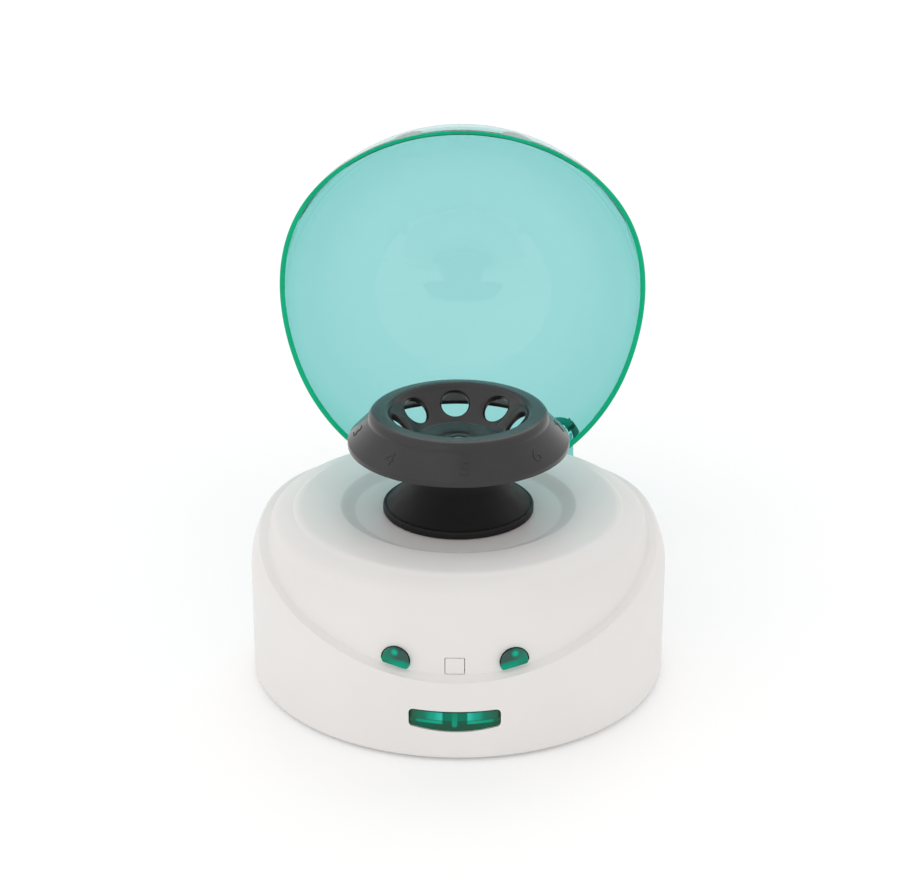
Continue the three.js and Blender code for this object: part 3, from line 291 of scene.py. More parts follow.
# %% Outline of face, crown and deck
DECK_Z, DECK_RADIUS, DECK_BOW_RADIUS, DECK_START = 67.6, 61.2, 62.2, 1.4
CROWN_RADIUS, CROWN_Z, CROWN_SHOULDER_Z, CROWN_BOW = 69.6, 64.8, 61.2, (71.6, 63.9)
STEP_RADIUS, STEP_Z, STEP_BOW = 63.4, 66.75, (66.6, 66.1)
FACE_LOW_Z = 25.0


def skin_strip(heights, inset):
    return np.stack([skin_radius(heights, inset), heights], 1)


def face_line():
    """Outline of face, crown and step from low on the face up to the deck's edge."""
    straight = np.linspace(FACE_LOW_Z, WALL_TOP, 12)
    shoulder = np.linspace(WALL_TOP, CROWN_SHOULDER_Z, 26)[1:]
    face = skin_strip(np.concatenate([straight, shoulder]), FACE_INSET)
    crown = bend(face[-1], CROWN_BOW, (CROWN_RADIUS, CROWN_Z), 8)
    step = bend(crown[-1], STEP_BOW, (STEP_RADIUS, STEP_Z), 6)
    deck = bend(step[-1], (DECK_BOW_RADIUS, DECK_Z), (DECK_RADIUS - DECK_START, DECK_Z), 4)
    return np.concatenate([face, crown, step, deck])


FACE_LINE = face_line()
print("face line:", len(FACE_LINE), "points, up to a height of", round(float(FACE_LINE[-1, 1]), 1))

# %% Where skins and lines meet the seat line
SEARCH_START_Z, SEARCH_STEPS = 28.0, 40


def rise_to_seat(radius_at, angle):
    """Height where a skin meets the seat line in one direction, found step by step."""
    z = max(SEARCH_START_Z, float(seat_z(BODY_RADIUS * math.sin(angle))))
    for _ in range(SEARCH_STEPS):
        z = float(seat_z(float(radius_at(z)) * math.sin(angle)))
    return z


def lengths_of(line):
    """Length of a line up to each of its points."""
    return np.concatenate([[0], np.cumsum(np.linalg.norm(np.diff(line, axis=0), axis=1))])


def along(line, start, steps):
    """Evenly spaced points of a line, from a length along it to its end."""
    lengths = lengths_of(line)
    wanted = np.linspace(start, lengths[-1], steps)
    return np.stack([np.interp(wanted, lengths, line[:, k]) for k in (0, 1)], 1)


def start_on(line, angle):
    """Length along the line at which it crosses the seat line in one direction."""
    lengths = lengths_of(line)
    above = line[:, 1] - seat_z(line[:, 0] * math.sin(angle))
    k = int(np.argmax(above > 0))
    share = -above[k - 1] / (above[k] - above[k - 1])
    return float(lengths[k - 1] + share * (lengths[k] - lengths[k - 1]))


front_rim = rise_to_seat(lambda z: skin_radius(z, 0), -math.pi / 2)
print("the body's rim is", round(front_rim, 1), "mm high at the front")

# %% Bowl, and the underside of bowl and deck
BOWL_RADIUS, BOWL_FLOOR_RADIUS, BOWL_FLOOR_Z, THROAT_RADIUS = 44.7, 39.6, 65.0, 22.3
BOWL_HALFWAY = [(BOWL_RADIUS + BOWL_FLOOR_RADIUS) / 2, (DECK_Z + BOWL_FLOOR_Z) / 2]
UNDER_DECK_Z, UNDER_BOWL_Z = DECK_Z - BODY_WALL, BOWL_FLOOR_Z - BODY_WALL
MOULD_EDGE, MOULD_EDGE_BOW = 0.45, 0.12

BOWL_LINE = [
    [53.0, DECK_Z], [BOWL_RADIUS + 0.9, DECK_Z], [BOWL_RADIUS + 0.25, DECK_Z - MOULD_EDGE_BOW],
    [BOWL_RADIUS - 0.4, DECK_Z - MOULD_EDGE], BOWL_HALFWAY,
    [BOWL_FLOOR_RADIUS + 0.5, BOWL_FLOOR_Z + 0.2], [BOWL_FLOOR_RADIUS - 0.5, BOWL_FLOOR_Z],
    [32.0, BOWL_FLOOR_Z], [THROAT_RADIUS, BOWL_FLOOR_Z], [THROAT_RADIUS, UNDER_BOWL_Z],
]
UNDERSIDE = [
    [BOWL_FLOOR_RADIUS + 1.2, UNDER_BOWL_Z], [BOWL_RADIUS + 1.2, UNDER_DECK_Z],
    [DECK_RADIUS - 1, UNDER_DECK_Z], [65.5, 62.3], [69.0, 60.0],
]
print("the bowl is", round(DECK_Z - BOWL_FLOOR_Z, 1), "mm deep")

# %% Body grid
WALL_ROWS, FACE_ROWS, INNER_ROWS, LOW_ROWS = 34, 44, 6, 8
INNER_TOP_Z, INNER_SIDE_Z, INNER_SIDE_FROM_Z, INNER_LOW_Z = 58.0, 55.5, 55.0, 46.0
LEDGE_TOP_Z, LEDGE_BOTTOM_Z, LEDGE_WALL = 56.0, 26.0, 2.6


def body_column(angle):
    top = rise_to_seat(lambda z: skin_radius(z, 0), angle)
    rim = float(skin_radius(top, 0))
    foot = [[BODY_RADIUS - 1.6, BASE_Z], [BODY_RADIUS - 0.5, BASE_Z + MOULD_EDGE]]
    wall = skin_strip(np.linspace(BASE_Z + 1.6, top - MOULD_EDGE, WALL_ROWS), 0)
    climb = along(FACE_LINE, start_on(FACE_LINE, angle), FACE_ROWS)
    face_r, face_z = climb[0]
    ledge = [[rim - MOULD_EDGE_BOW, top - MOULD_EDGE_BOW], [rim - MOULD_EDGE, top]]
    ledge += [[(rim + face_r) / 2, (top + face_z) / 2], [face_r + 0.35, face_z]]
    climb[0] = [face_r + 0.02, face_z + 0.3]
    high_side = climb[0, 1] >= INNER_SIDE_FROM_Z
    inner_foot = INNER_SIDE_Z if high_side else max(climb[0, 1], INNER_LOW_Z)
    inner_z = np.linspace(INNER_TOP_Z, inner_foot, INNER_ROWS)
    low_top = max(LEDGE_BOTTOM_Z, min(top, LEDGE_TOP_Z) - LEDGE_WALL)
    low_z = np.linspace(low_top, BASE_Z, LOW_ROWS)
    waist_z = np.linspace(inner_z[-1], low_z[0] + 1.0, INNER_ROWS)[1:]
    inside = [skin_strip(z, FACE_INSET + BODY_WALL) for z in (inner_z, waist_z)]
    inside.append(skin_strip(low_z, BODY_WALL))
    return np.concatenate([foot, wall, ledge, climb, BOWL_LINE, UNDERSIDE, *inside])


columns = [upright(body_column(angle), angle) for angle in directions()]
body_shell = grid_piece("body_shell", columns)
print("body grid:", len(body_shell.data.polygons), "faces")

# %% [markdown]
# ## The body's windows
# The latch noses, the sensing tab and the release button each sit in a window with a fine seam
# round them. A window could be drawn by eye, but then the seam would be uneven. So each window
# is cut with the same outline as the piece in it, grown by the seam.

# %% Outlines of noses and button
SEAM = 0.35
NOSE_X, NOSE_FLAT_Z, NOSE_HEIGHT, NOSE_TILT, NOSE_PROUD = 21.7, 37.2, 6.9, math.radians(10.9), 1.6
NOSE_HALF, NOSE_FLAT_HALF, NOSE_CORNER = 5.0, 3.9, 1.6
BUTTON_HALF, BUTTON_TOP, BUTTON_BASE, BUTTON_CORNER = 16.35, 20.9, 14.3, 2.0
BUTTON_TOP_SAG, BUTTON_BASE_SAG = 0.4, 1.5


def nose_outline(side, grow):
    """A flat foot with two rounded corners and a round back, tilted to follow the rim."""
    half, flat = NOSE_HALF + grow, NOSE_FLAT_HALF + min(0.0, grow)
    points = [[-flat, -grow], [flat, -grow]]
    points += list(bend((flat, -grow), (half, -grow), (half, NOSE_CORNER), 6))
    for k in range(1, 29):
        angle = math.pi * k / 28
        climb = NOSE_CORNER + (NOSE_HEIGHT + grow - NOSE_CORNER) * math.sin(angle)
        points.append([half * math.cos(angle), climb])
    points += list(bend((-half, NOSE_CORNER), (-half, -grow), (-flat, -grow), 6))[:-1]
    tilt = NOSE_TILT * side
    turn = np.array([[math.cos(tilt), -math.sin(tilt)], [math.sin(tilt), math.cos(tilt)]])
    return np.array(points) @ turn.T + (side * NOSE_X, NOSE_FLAT_Z)


def button_outline(grow):
    """A wide field with round corners, whose top and base sag a little in the middle."""
    half, top, base = BUTTON_HALF + grow, BUTTON_TOP + grow, BUTTON_BASE - grow
    corner = BUTTON_CORNER + min(0.0, grow)
    flat = half - corner
    middle_top, middle_base = top - 2 * BUTTON_TOP_SAG, base - 2 * BUTTON_BASE_SAG
    points = [[-flat, top], *bend((-flat, top), (0, middle_top), (flat, top), 16)]
    points += [*bend((flat, top), (half, top), (half, top - corner), 6), [half, base + corner]]
    points += list(bend((half, base + corner), (half, base), (flat, base), 6))
    points += list(bend((flat, base), (0, middle_base), (-flat, base), 20))
    points += list(bend((-flat, base), (-half, base), (-half, base + corner), 6))
    points.append([-half, top - corner])
    return np.array([*points, *bend((-half, top - corner), (-half, top), (-flat, top), 6)[:-1]])


print("corners of nose and button:", len(nose_outline(1, 0)), len(button_outline(0)))

# %% Front windows
AHEAD, TAB_AHEAD, YOKE_FRONT = -84.0, -80.0, -69.0
TAB_HALF, TAB_LOW, TAB_HIGH = 3.3, 35.0, 41.0

tab_low, tab_high = (-TAB_HALF - SEAM, TAB_LOW - SEAM), (TAB_HALF + SEAM, TAB_HIGH + SEAM)
for side in (-1, 1):
    carve(body_shell, prism("window", nose_outline(side, SEAM), "Y", AHEAD, YOKE_FRONT))
carve(body_shell, prism("window", button_outline(SEAM), "Y", AHEAD, YOKE_FRONT))
tab_window = rounded(box_outline(tab_low, tab_high), 0.5)
carve(body_shell, prism("window", tab_window, "Y", TAB_AHEAD, YOKE_FRONT))
print("front windows cut; body now has", len(body_shell.data.polygons), "faces")

# %% [markdown]
# ## The back of the body
# Two lugs carry the hinge pins. Between them the shoulder is scooped out, because the lid's
# rear edge swings down there when the lid opens. The scoop's radius comes from the lid's own
# rim, so there is always room. Below sits a flat recess with two windows, one for the power
# inlet and one for the power switch.

# %% Outlines of lugs and swing room
LUG_INNER, LUG_OUTER, LUG_RADIUS, LUG_FOOT, LUG_ROOT_RADIUS = 38.6, 43.4, 5.2, 14.0, 78.8
SWING_GAP, SWING_REACH = 0.5, 30.0


def about_hinge(radius, angles):
    """Points (y, z) at a radius from the hinge."""
    return [[HINGE[1] + radius * math.cos(angle), HINGE[2] + radius * math.sin(angle)]
            for angle in angles]


def lug_outline():
    front = HINGE[1] - LUG_FOOT
    arc = [math.pi / 2 - math.pi * 0.75 * k / 24 for k in range(25)]
    foot_z = HINGE[2] - LUG_FOOT - LUG_RADIUS / 2
    return [[front, HINGE[2] + LUG_RADIUS], *about_hinge(LUG_RADIUS, arc), [front, foot_z]]


def swing_outline():
    rim_z = float(seat_z(float(skin_radius(seat_z(HINGE[1]), 0)))) + LID_GAP
    rim_y = float(skin_radius(rim_z, LID_WALL))
    radius = math.hypot(rim_y - HINGE[1], rim_z - HINGE[2]) - SWING_GAP
    start = math.atan2(rim_z - HINGE[2], float(skin_radius(rim_z, 0)) - HINGE[1])
    arc = [start - (start + math.pi / 4) * k / 32 for k in range(33)]
    outside = about_hinge(radius + SWING_REACH, (-math.pi / 4, start / 3, start))
    return about_hinge(radius, arc) + outside


print("the lugs stand from", LUG_INNER, "to", LUG_OUTER, "mm beside the middle")

# %% Lugs, pins' holes and rear recess
REAR_PAD, REAR_PAD_FRONT, REAR_PAD_BACK = ((-30.4, 10.6), (30.4, 35.4)), 70.6, 80.0
REAR_RECESS, REAR_PANEL_Y, BEHIND = ((-28.0, 13.0), (28.0, 33.0)), 73.0, 84.0
INLET_WINDOW, SWITCH_WINDOW = ((-19.9, 17.2), (-10.1, 28.8)), ((2.4, 16.4), (21.6, 29.6))
WINDOW_FRONT, WINDOW_BACK = 66.0, 76.0

for side in (-1, 1):
    lug = prism("lug", lug_outline(), "X", *sorted((side * LUG_INNER, side * LUG_OUTER)))
    carve(lug, round_bar(LUG_ROOT_RADIUS, 0, 60, 96))
    carve(body_shell, lug, how="UNION")
carve(body_shell, prism("swing", swing_outline(), "X", -LUG_INNER, LUG_INNER))
for side in (-1, 1):
    span = sorted((side * (LUG_INNER + 0.3), side * (LUG_OUTER + 1)))
    carve(body_shell, prism("pin_hole", disc(PIN_HOLE, HINGE[1:]), "X", *span))
pad = prism("pad", box_outline(*REAR_PAD), "Y", REAR_PAD_FRONT, REAR_PAD_BACK)
carve(body_shell, carve(pad, round_bar(LUG_ROOT_RADIUS, 0, 50, 192), how="INTERSECT"), how="UNION")
recess = rounded(box_outline(*REAR_RECESS), 2.0)
carve(body_shell, prism("recess", recess, "Y", REAR_PANEL_Y, BEHIND))
for window in (INLET_WINDOW, SWITCH_WINDOW):
    carve(body_shell, prism("window", box_outline(*window), "Y", WINDOW_FRONT, WINDOW_BACK))
smooth(body_shell, 30)
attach(body_shell, "base")
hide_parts("housing")
print("body finished with", len(body_shell.data.polygons), "faces")

# %% [markdown]
# ## The lid
# The lid is one clear moulding: a thin dome with two hinge arms outside and a raised loop by the
# right-hand arm. A hollow sphere with a flat cut would be quicker to make, but the real rim
# follows the seat line. So the lid is made closed, as a grid whose columns start at that line,
# and is then turned open about the hinge. The wall is a real 2.2 mm thick, so the rim shows as
# a deep green line.

# %% Outline of the dome
DOME_WAIST, DOME_SHOULDER, DOME_ROWS, SIDE_ROWS = (57.0, 98.2), (44.0, LID_TOP_Z), 44, 22
HIGH_RIM_Z, SIDE_TOP_Z, DOME_FROM_Z = LID_DOME_Z - 3, 67.0, 67.4
RIM_EDGE, RIM_EDGE_BOW, RIM_EDGE_LIFT = 0.35, 0.08, 0.1


def dome_line(inset, steps):
    """The dome from the end of the shoulder arc up to the crown, moved in by an inset."""
    waist, shoulder = np.array(DOME_WAIST), np.array(DOME_SHOULDER)
    start = np.array([float(skin_radius(LID_DOME_Z, 0)), LID_DOME_Z])
    top = np.array([0.0, LID_TOP_Z])
    share = (1 - np.cos(np.linspace(0, math.pi / 2, steps + 1)))[1:, None]
    share = np.linspace(0, 1, steps + 1)[1:, None] * 0.5 + share * 0.5
    rest = 1 - share
    places = rest**3 * start + 3 * rest**2 * share * waist
    places = places + 3 * rest * share**2 * shoulder + share**3 * top
    slope = rest**2 * (waist - start) + 2 * rest * share * (shoulder - waist)
    slope = slope + share**2 * (top - shoulder)
    slope /= np.linalg.norm(slope, axis=1)[:, None]
    return np.stack([places[:, 0] - inset * slope[:, 1], places[:, 1] + inset * slope[:, 0]], 1)


def lid_side(angle, inset):
    """One skin of the lid in one direction, from the rim up to the crown."""
    foot = rise_to_seat(lambda z: skin_radius(z, inset), angle) + LID_GAP
    dome = dome_line(inset, DOME_ROWS)
    high = foot >= HIGH_RIM_Z
    heights = np.linspace(foot + RIM_EDGE, SIDE_TOP_Z if high else LID_DOME_Z, SIDE_ROWS)
    line = skin_strip(heights, inset)
    if high:
        start = float(skin_radius(LID_DOME_Z, inset))
        on_dome = np.interp(heights, [LID_DOME_Z, *dome[:6, 1]], [start, *dome[:6, 0]])
        line[:, 0] = np.where(heights <= LID_DOME_Z, line[:, 0], on_dome)
        reach = dome[:, 1] > DOME_FROM_Z
        dome = along(np.concatenate([line[-1:], dome[reach]]), 0, DOME_ROWS + 1)[1:]
    return foot, np.concatenate([line, dome])[:-1]


print("the dome rises from", LID_DOME_Z, "to", LID_TOP_Z, "mm")

# %% Lid dome
RIM_SWELL, RIM_SWELL_HEIGHT = 0.35, 2.5

columns = []
for angle in directions():
    foot, outer = lid_side(angle, 0.0)
    inner_foot, inner = lid_side(angle, LID_WALL)
    inner[:, 0] += RIM_SWELL * np.clip(1 - (inner[:, 1] - inner_foot) / RIM_SWELL_HEIGHT, 0, 1)
    outer_r, inner_r = outer[0, 0], inner[0, 0]
    rim = [[outer_r - RIM_EDGE_BOW, foot + RIM_EDGE_LIFT], [outer_r - RIM_EDGE, foot]]
    rim += [[inner_r + RIM_EDGE, inner_foot], [inner_r + RIM_EDGE_BOW, inner_foot + RIM_EDGE_LIFT]]
    columns.append(upright(np.concatenate([outer[::-1], rim, inner]), angle))
clear_lid = grid_piece("clear_lid", columns, (0, 0, LID_TOP_Z), (0, 0, LID_TOP_Z - LID_WALL))
print("lid dome:", len(clear_lid.data.polygons), "faces")

# %% Outlines of arms and heels
ARM_INNER, ARM_WIDTH, ARM_BREADTH, ARM_TIP, EYE_RADIUS = 44.0, 3.2, 5.0, 2.6, 4.2
ARM_BOW, ARM_END, ARM_REACH = (72.0, 58.5), (54.0, 69.6), 0.9
HEEL_DROP, HEEL_GAP, HEEL_EDGE = 4.0, 0.3, 0.8


def arm_outline():
    """A bowed arm from the hinge up the lid, slimmer toward its tip."""
    start, bow, end = np.array(HINGE[1:]), np.array(ARM_BOW), np.array(ARM_END)
    half, tip = ARM_BREADTH / 2, ARM_TIP / 2
    inner, outer = [], []
    for share in np.linspace(0, ARM_REACH, 29)[1:]:
        place = (1 - share) ** 2 * start + 2 * share * (1 - share) * bow + share**2 * end
        run = (1 - share) * (bow - start) + share * (end - bow)
        run *= (half + (tip - half) * share) / np.linalg.norm(run)
        inner.append([place[0] - run[1], place[1] + run[0]])
        outer.append([place[0] + run[1], place[1] - run[0]])
    return [[HINGE[1] - half, HINGE[2]], *inner, *outer[::-1], [HINGE[1] + half, HINGE[2]]]


def heel_outline():
    """The stop behind the hinge, which rests on the wall when the lid is open."""
    reach = HINGE[1] - math.sqrt(BODY_RADIUS**2 - ARM_INNER**2) - HEEL_GAP
    corners = np.array([(0, 0), (-reach, 0), (-reach, -HEEL_DROP), (0, -HEEL_DROP)])
    cos, sin = math.cos(LID_OPEN), math.sin(LID_OPEN)
    return rounded(corners @ np.array([[cos, sin], [-sin, cos]]) + np.array(HINGE[1:]), HEEL_EDGE)


print("corners of an arm:", len(arm_outline()))

# %% Arms, heels, latch pockets and loop
POCKET_SEAM, POCKET_GAP = 0.6, 0.3
LOOP_X, LOOP_Y, LOOP_RADIUS, LOOP_REACH = 41.4, 59.2, 7.6, 77.2
LOOP_WIDTH, LOOP_Z, LOOP_HEIGHT = 3.0, 67.2, 3.2


def lid_hollow():
    """The room inside the lid, as a solid to cut with."""
    wall = skin_strip(np.linspace(20, LID_DOME_Z, 30), LID_WALL)
    dome = dome_line(LID_WALL, 40)[:-1]
    return turned("hollow", [[0, 20], *wall, *dome, [0, LID_TOP_Z - LID_WALL]], 192)


for side in (-1, 1):
    span = sorted((side * ARM_INNER, side * (ARM_INNER + ARM_WIDTH)))
    arm = prism("arm", arm_outline(), "X", *span)
    eye = prism("eye", disc(EYE_RADIUS, HINGE[1:], 64), "X", *span)
    carve(arm, prism("heel", heel_outline(), "X", *span), eye, how="UNION")
    hole = prism("pin_hole", disc(PIN_HOLE, HINGE[1:]), "X", span[0] - 1, span[1] + 1)
    carve(arm, hole, lid_hollow())
    carve(clear_lid, arm, how="UNION")
    pocket = prism("pocket", nose_outline(side, POCKET_SEAM), "Y", TAB_AHEAD, YOKE_FRONT)
    pocket_floor = round_bar(FACE_RADIUS + NOSE_PROUD + POCKET_GAP, 20, 60, 192)
    carve(clear_lid, carve(pocket, pocket_floor, how="INTERSECT"))
low, high = LOOP_RADIUS - LOOP_WIDTH / 2, LOOP_RADIUS + LOOP_WIDTH / 2
section = rounded(box_outline((low, LOOP_Z), (high, LOOP_Z + LOOP_HEIGHT)), 1.5, 6)
loop = turned("loop", section, 72)
loop.data.transform(Matrix.Translation((LOOP_X * MM, LOOP_Y * MM, 0)))
carve(loop, round_bar(LOOP_REACH, 60, 80, 192), how="INTERSECT")
carve(clear_lid, loop, how="UNION")
print("lid with arms, pockets and loop:", len(clear_lid.data.polygons), "faces")

# %% Zones of the lid, and its open place
# Each face is noted as sheet, rim or loop, because the three get their own finish further down
wall_z = np.linspace(20, LID_DOME_Z, 40)
skin = np.concatenate([skin_strip(wall_z, 0), dome_line(0, 60)])
lid_zones = []
for face in clear_lid.data.polygons:
    x, y, z = 1000 * face.center
    depth = float(np.interp(z, skin[:, 1], skin[:, 0])) - math.hypot(x, y)
    on_rim = z < float(seat_z(y)) + LID_GAP + 0.25 and -0.2 < depth < LID_WALL
    from_loop = abs(math.hypot(x - LOOP_X, y - LOOP_Y) - LOOP_RADIUS)
    loop_high = LOOP_Z - 0.1 < z < LOOP_Z + LOOP_HEIGHT + 0.1
    on_loop = from_loop < LOOP_WIDTH / 2 + 0.05 and loop_high
    lid_zones.append(1 if on_rim else 2 if on_loop else 0)
print("faces of sheet, rim and loop:", [lid_zones.count(k) for k in range(3)])
to_hinge = Matrix.Translation(Vector(HINGE) * MM)
clear_lid.data.transform(to_hinge @ Matrix.Rotation(-LID_OPEN, 4, "X") @ to_hinge.inverted())
smooth(clear_lid, 40)
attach(clear_lid, "lid")
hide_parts("lid")
print("lid finished with", len(clear_lid.data.polygons), "faces")

# %% [markdown]
# ## Rotor and boot
# The rotor is one turned shape with a cone for the tubes, a thick lip and a skirt. Its eight
# holes are cut square to the cone. A thin flare at the mouth of each hole gives the soft edge
# that a mould leaves there, where a bevel would trip over the curved cut. The rubber boot under
# it is turned too: a flange, one smooth curve in to the waist, and the throat inside.

# %% Outline of the rotor
ROTOR_WALL, SHAFT_HOLE, SCREW_SEAT, SCREW_SEAT_DEPTH = 2.2, 1.95, 3.8, 3.2
CUP_FLOOR, CUP_FLOOR_Z, CUP_MOUTH, CUP_MOUTH_Z = 15.5, 94.5, 26.0, 104.3
HUB, HUB_LOW, HUB_TOP = 8.5, 82.0, 93.9
SKIRT_LOW, SKIRT_HIGH, SKIRT_FOOT_Z, SKIRT_INNER = (42.1, 94.3), (34.3, 102.4), 92.1, 39.9
LIP_BOW, LIP_SHOULDER = (34.2, 105.5), (31.2, 105.9)
LIP_CREST, LIP_EDGE = (28.6, 106.2), (26.9, 106.4)


def rotor_outline():
    drop = ROTOR_WALL * math.sqrt(0.5)
    seat_floor = HUB_TOP - SCREW_SEAT_DEPTH
    under = [[SHAFT_HOLE, HUB_LOW], [HUB, HUB_LOW], [HUB, CUP_FLOOR_Z - 2 * ROTOR_WALL]]
    under += [[CUP_FLOOR, CUP_FLOOR_Z - 2 * drop], [CUP_MOUTH + drop, CUP_MOUTH_Z - drop]]
    under += [[SKIRT_HIGH[0] - drop, SKIRT_HIGH[1] - drop], [SKIRT_INNER, SKIRT_LOW[1] - drop / 2]]
    skirt = [[SKIRT_INNER, SKIRT_FOOT_Z], [SKIRT_LOW[0], SKIRT_FOOT_Z], SKIRT_LOW, SKIRT_HIGH]
    lip = [*bend(SKIRT_HIGH, LIP_BOW, LIP_SHOULDER, 14), LIP_CREST]
    lip += list(bend(LIP_CREST, LIP_EDGE, (CUP_MOUTH, CUP_MOUTH_Z), 10))
    cup = [[CUP_FLOOR, CUP_FLOOR_Z], [HUB, CUP_FLOOR_Z - 1.1], [HUB, HUB_TOP]]
    seat = [[SCREW_SEAT, HUB_TOP], [SCREW_SEAT, seat_floor], [SHAFT_HOLE, seat_floor]]
    return [*under, *skirt, *lip, *cup, *seat]


tube_rotor = turned("tube_rotor", rounded(rotor_outline(), 0.45))
print("rotor before its holes:", len(tube_rotor.data.polygons), "faces")

# %% Holes of the rotor
HOLE_RADIUS, HOLE_RING, HOLES, REST_TURN = 5.3, 21.3, 8, math.radians(4.5)
HOLE_FLARE = [[0, -6], [0, -0.75], [0.12, -0.4], [0.45, 0.05], [1.4, 0.7], [1.4, 5]]

cone = math.atan2(CUP_MOUTH_Z - CUP_FLOOR_Z, CUP_MOUTH - CUP_FLOOR)
hole_z = CUP_FLOOR_Z + (HOLE_RING - CUP_FLOOR) * math.tan(cone)
drill = [[0, -6], *[[HOLE_RADIUS + flare, z] for flare, z in HOLE_FLARE], [0, 5]]
shift = Matrix.Translation((HOLE_RING * MM, 0, hole_z * MM))
for k in range(HOLES):
    tool = turned("tube_hole", drill, 56)
    turn = Matrix.Rotation(2 * math.pi * k / HOLES - math.pi / 2, 4, "Z")
    tool.data.transform(turn @ shift @ Matrix.Rotation(-cone, 4, "Y"))
    carve(tube_rotor, tool)
tube_rotor.data.transform(Matrix.Rotation(REST_TURN, 4, "Z"))
smooth(tube_rotor, 34)
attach(tube_rotor, "spindle")
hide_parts("rotor")
tilt = round(math.degrees(cone), 1)
print("rotor:", len(tube_rotor.data.polygons), "faces, holes tilted by", tilt, "degrees")

# %% Boot
BOOT_Z = BOWL_FLOOR_Z + 0.3
BOOT_SWEEPS = (
    ((24.4, BOOT_Z + 5.0), (21.5, 73.5), 12),
    ((19.4, 76.0), (17.8, 78.5), 8),
    ((15.6, 82.5), (15.6, 86.5), 8),
)

boot_outline = [[28.9, BOOT_Z], [28.9, BOOT_Z + 2.2], [28.3, BOOT_Z + 2.8], [27.5, BOOT_Z + 2.7]]
for bow, end, steps in BOOT_SWEEPS:
    boot_outline += list(bend(boot_outline[-1], bow, end, steps))
boot_outline += [[14.0, 86.5], [16.2, 77.7], [19.9, 71.9]]
boot_outline += [[THROAT_RADIUS, BOOT_Z + 2.2], [THROAT_RADIUS, BOOT_Z]]
shaft_boot = smooth(turned("shaft_boot", rounded(boot_outline, 0.3)), 40)
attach(shaft_boot, "base")
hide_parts("boot")
print("boot:", len(shaft_boot.data.polygons), "faces")

# %% [markdown]
# ## Release button and latch noses
# Both are moulded in the same clear green plastic and are hollow behind a thin skin, with ribs
# and a post inside. Light goes in at the front, is caught by the ribs and comes back. The ribs
# and posts are real solids here, and the finish further down paints that light and shade on as
# brighter and darker fields at their places, which costs far less light than a see-through lens
# would.

# %% Release button
BUTTON_RECESS, BUTTON_WALL, BUTTON_INSIDE, BUTTON_BAND = 0.5, 1.5, -0.5, (5, 30)
BUTTON_RIB_X, BUTTON_RIB_WIDTH, BUTTON_RIB_LOW, BUTTON_RIB_HIGH = 5.3, 1.2, 12.5, 20.4
BUTTON_POST_RADIUS, BUTTON_POST_Z, BUTTON_RIB_FRONT = 1.3, 15.2, -79.0

# The band is a range of heights that reaches past the button, for the bars it is cut with
skin = BODY_RADIUS - BUTTON_RECESS
back = YOKE_FRONT - 0.3
button_lens = prism("button_lens", button_outline(0), "Y", AHEAD, back)
carve(button_lens, round_bar(skin, *BUTTON_BAND), how="INTERSECT")
core = prism("core", button_outline(-BUTTON_WALL), "Y", AHEAD, back + 1)
carve(button_lens, carve(core, round_bar(skin - BUTTON_WALL, *BUTTON_BAND), how="INTERSECT"))
print("button shell:", len(button_lens.data.polygons), "faces")

fillings = []
for x in (-BUTTON_RIB_X, BUTTON_RIB_X):
    left, right = x - BUTTON_RIB_WIDTH / 2, x + BUTTON_RIB_WIDTH / 2
    fillings.append(box_outline((left, BUTTON_RIB_LOW), (right, BUTTON_RIB_HIGH)))
fillings.append(disc(BUTTON_POST_RADIUS, (0, BUTTON_POST_Z)))
for outline in fillings:
    rib = prism("rib", outline, "Y", BUTTON_RIB_FRONT, back)
    keep = prism("keep", button_outline(BUTTON_INSIDE), "Y", AHEAD, back + 1)
    carve(rib, keep, round_bar(skin + BUTTON_INSIDE, *BUTTON_BAND), how="INTERSECT")
    carve(button_lens, rib, how="UNION")
smooth(button_lens, 30)
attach(button_lens, "release")
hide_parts("release_button")
print("button finished with", len(button_lens.data.polygons), "faces")

# %% Latch yoke with its two noses
YOKE_BACK, YOKE_HALF, YOKE_UPRIGHT = -66.8, 27.0, 16.4
YOKE_LOW, YOKE_BAR_TOP, YOKE_HIGH = 24.0, 31.0, 45.4
STEM_HALF, STEM_LOW, PUSHER_HALF, PUSHER_TOP = 5.0, 14.8, 14.0, 19.4
NOSE_WALL, NOSE_BAND, NOSE_CORE_BACK = 1.4, (20, 60), -63.0
NOSE_POST_RADIUS, NOSE_POST_RISE, NOSE_POST_GAP = 1.6, 3.4, 0.5


def yoke_bar(left, right, low, high):
    return prism("bar", box_outline((left, low), (right, high)), "Y", YOKE_FRONT, YOKE_BACK)


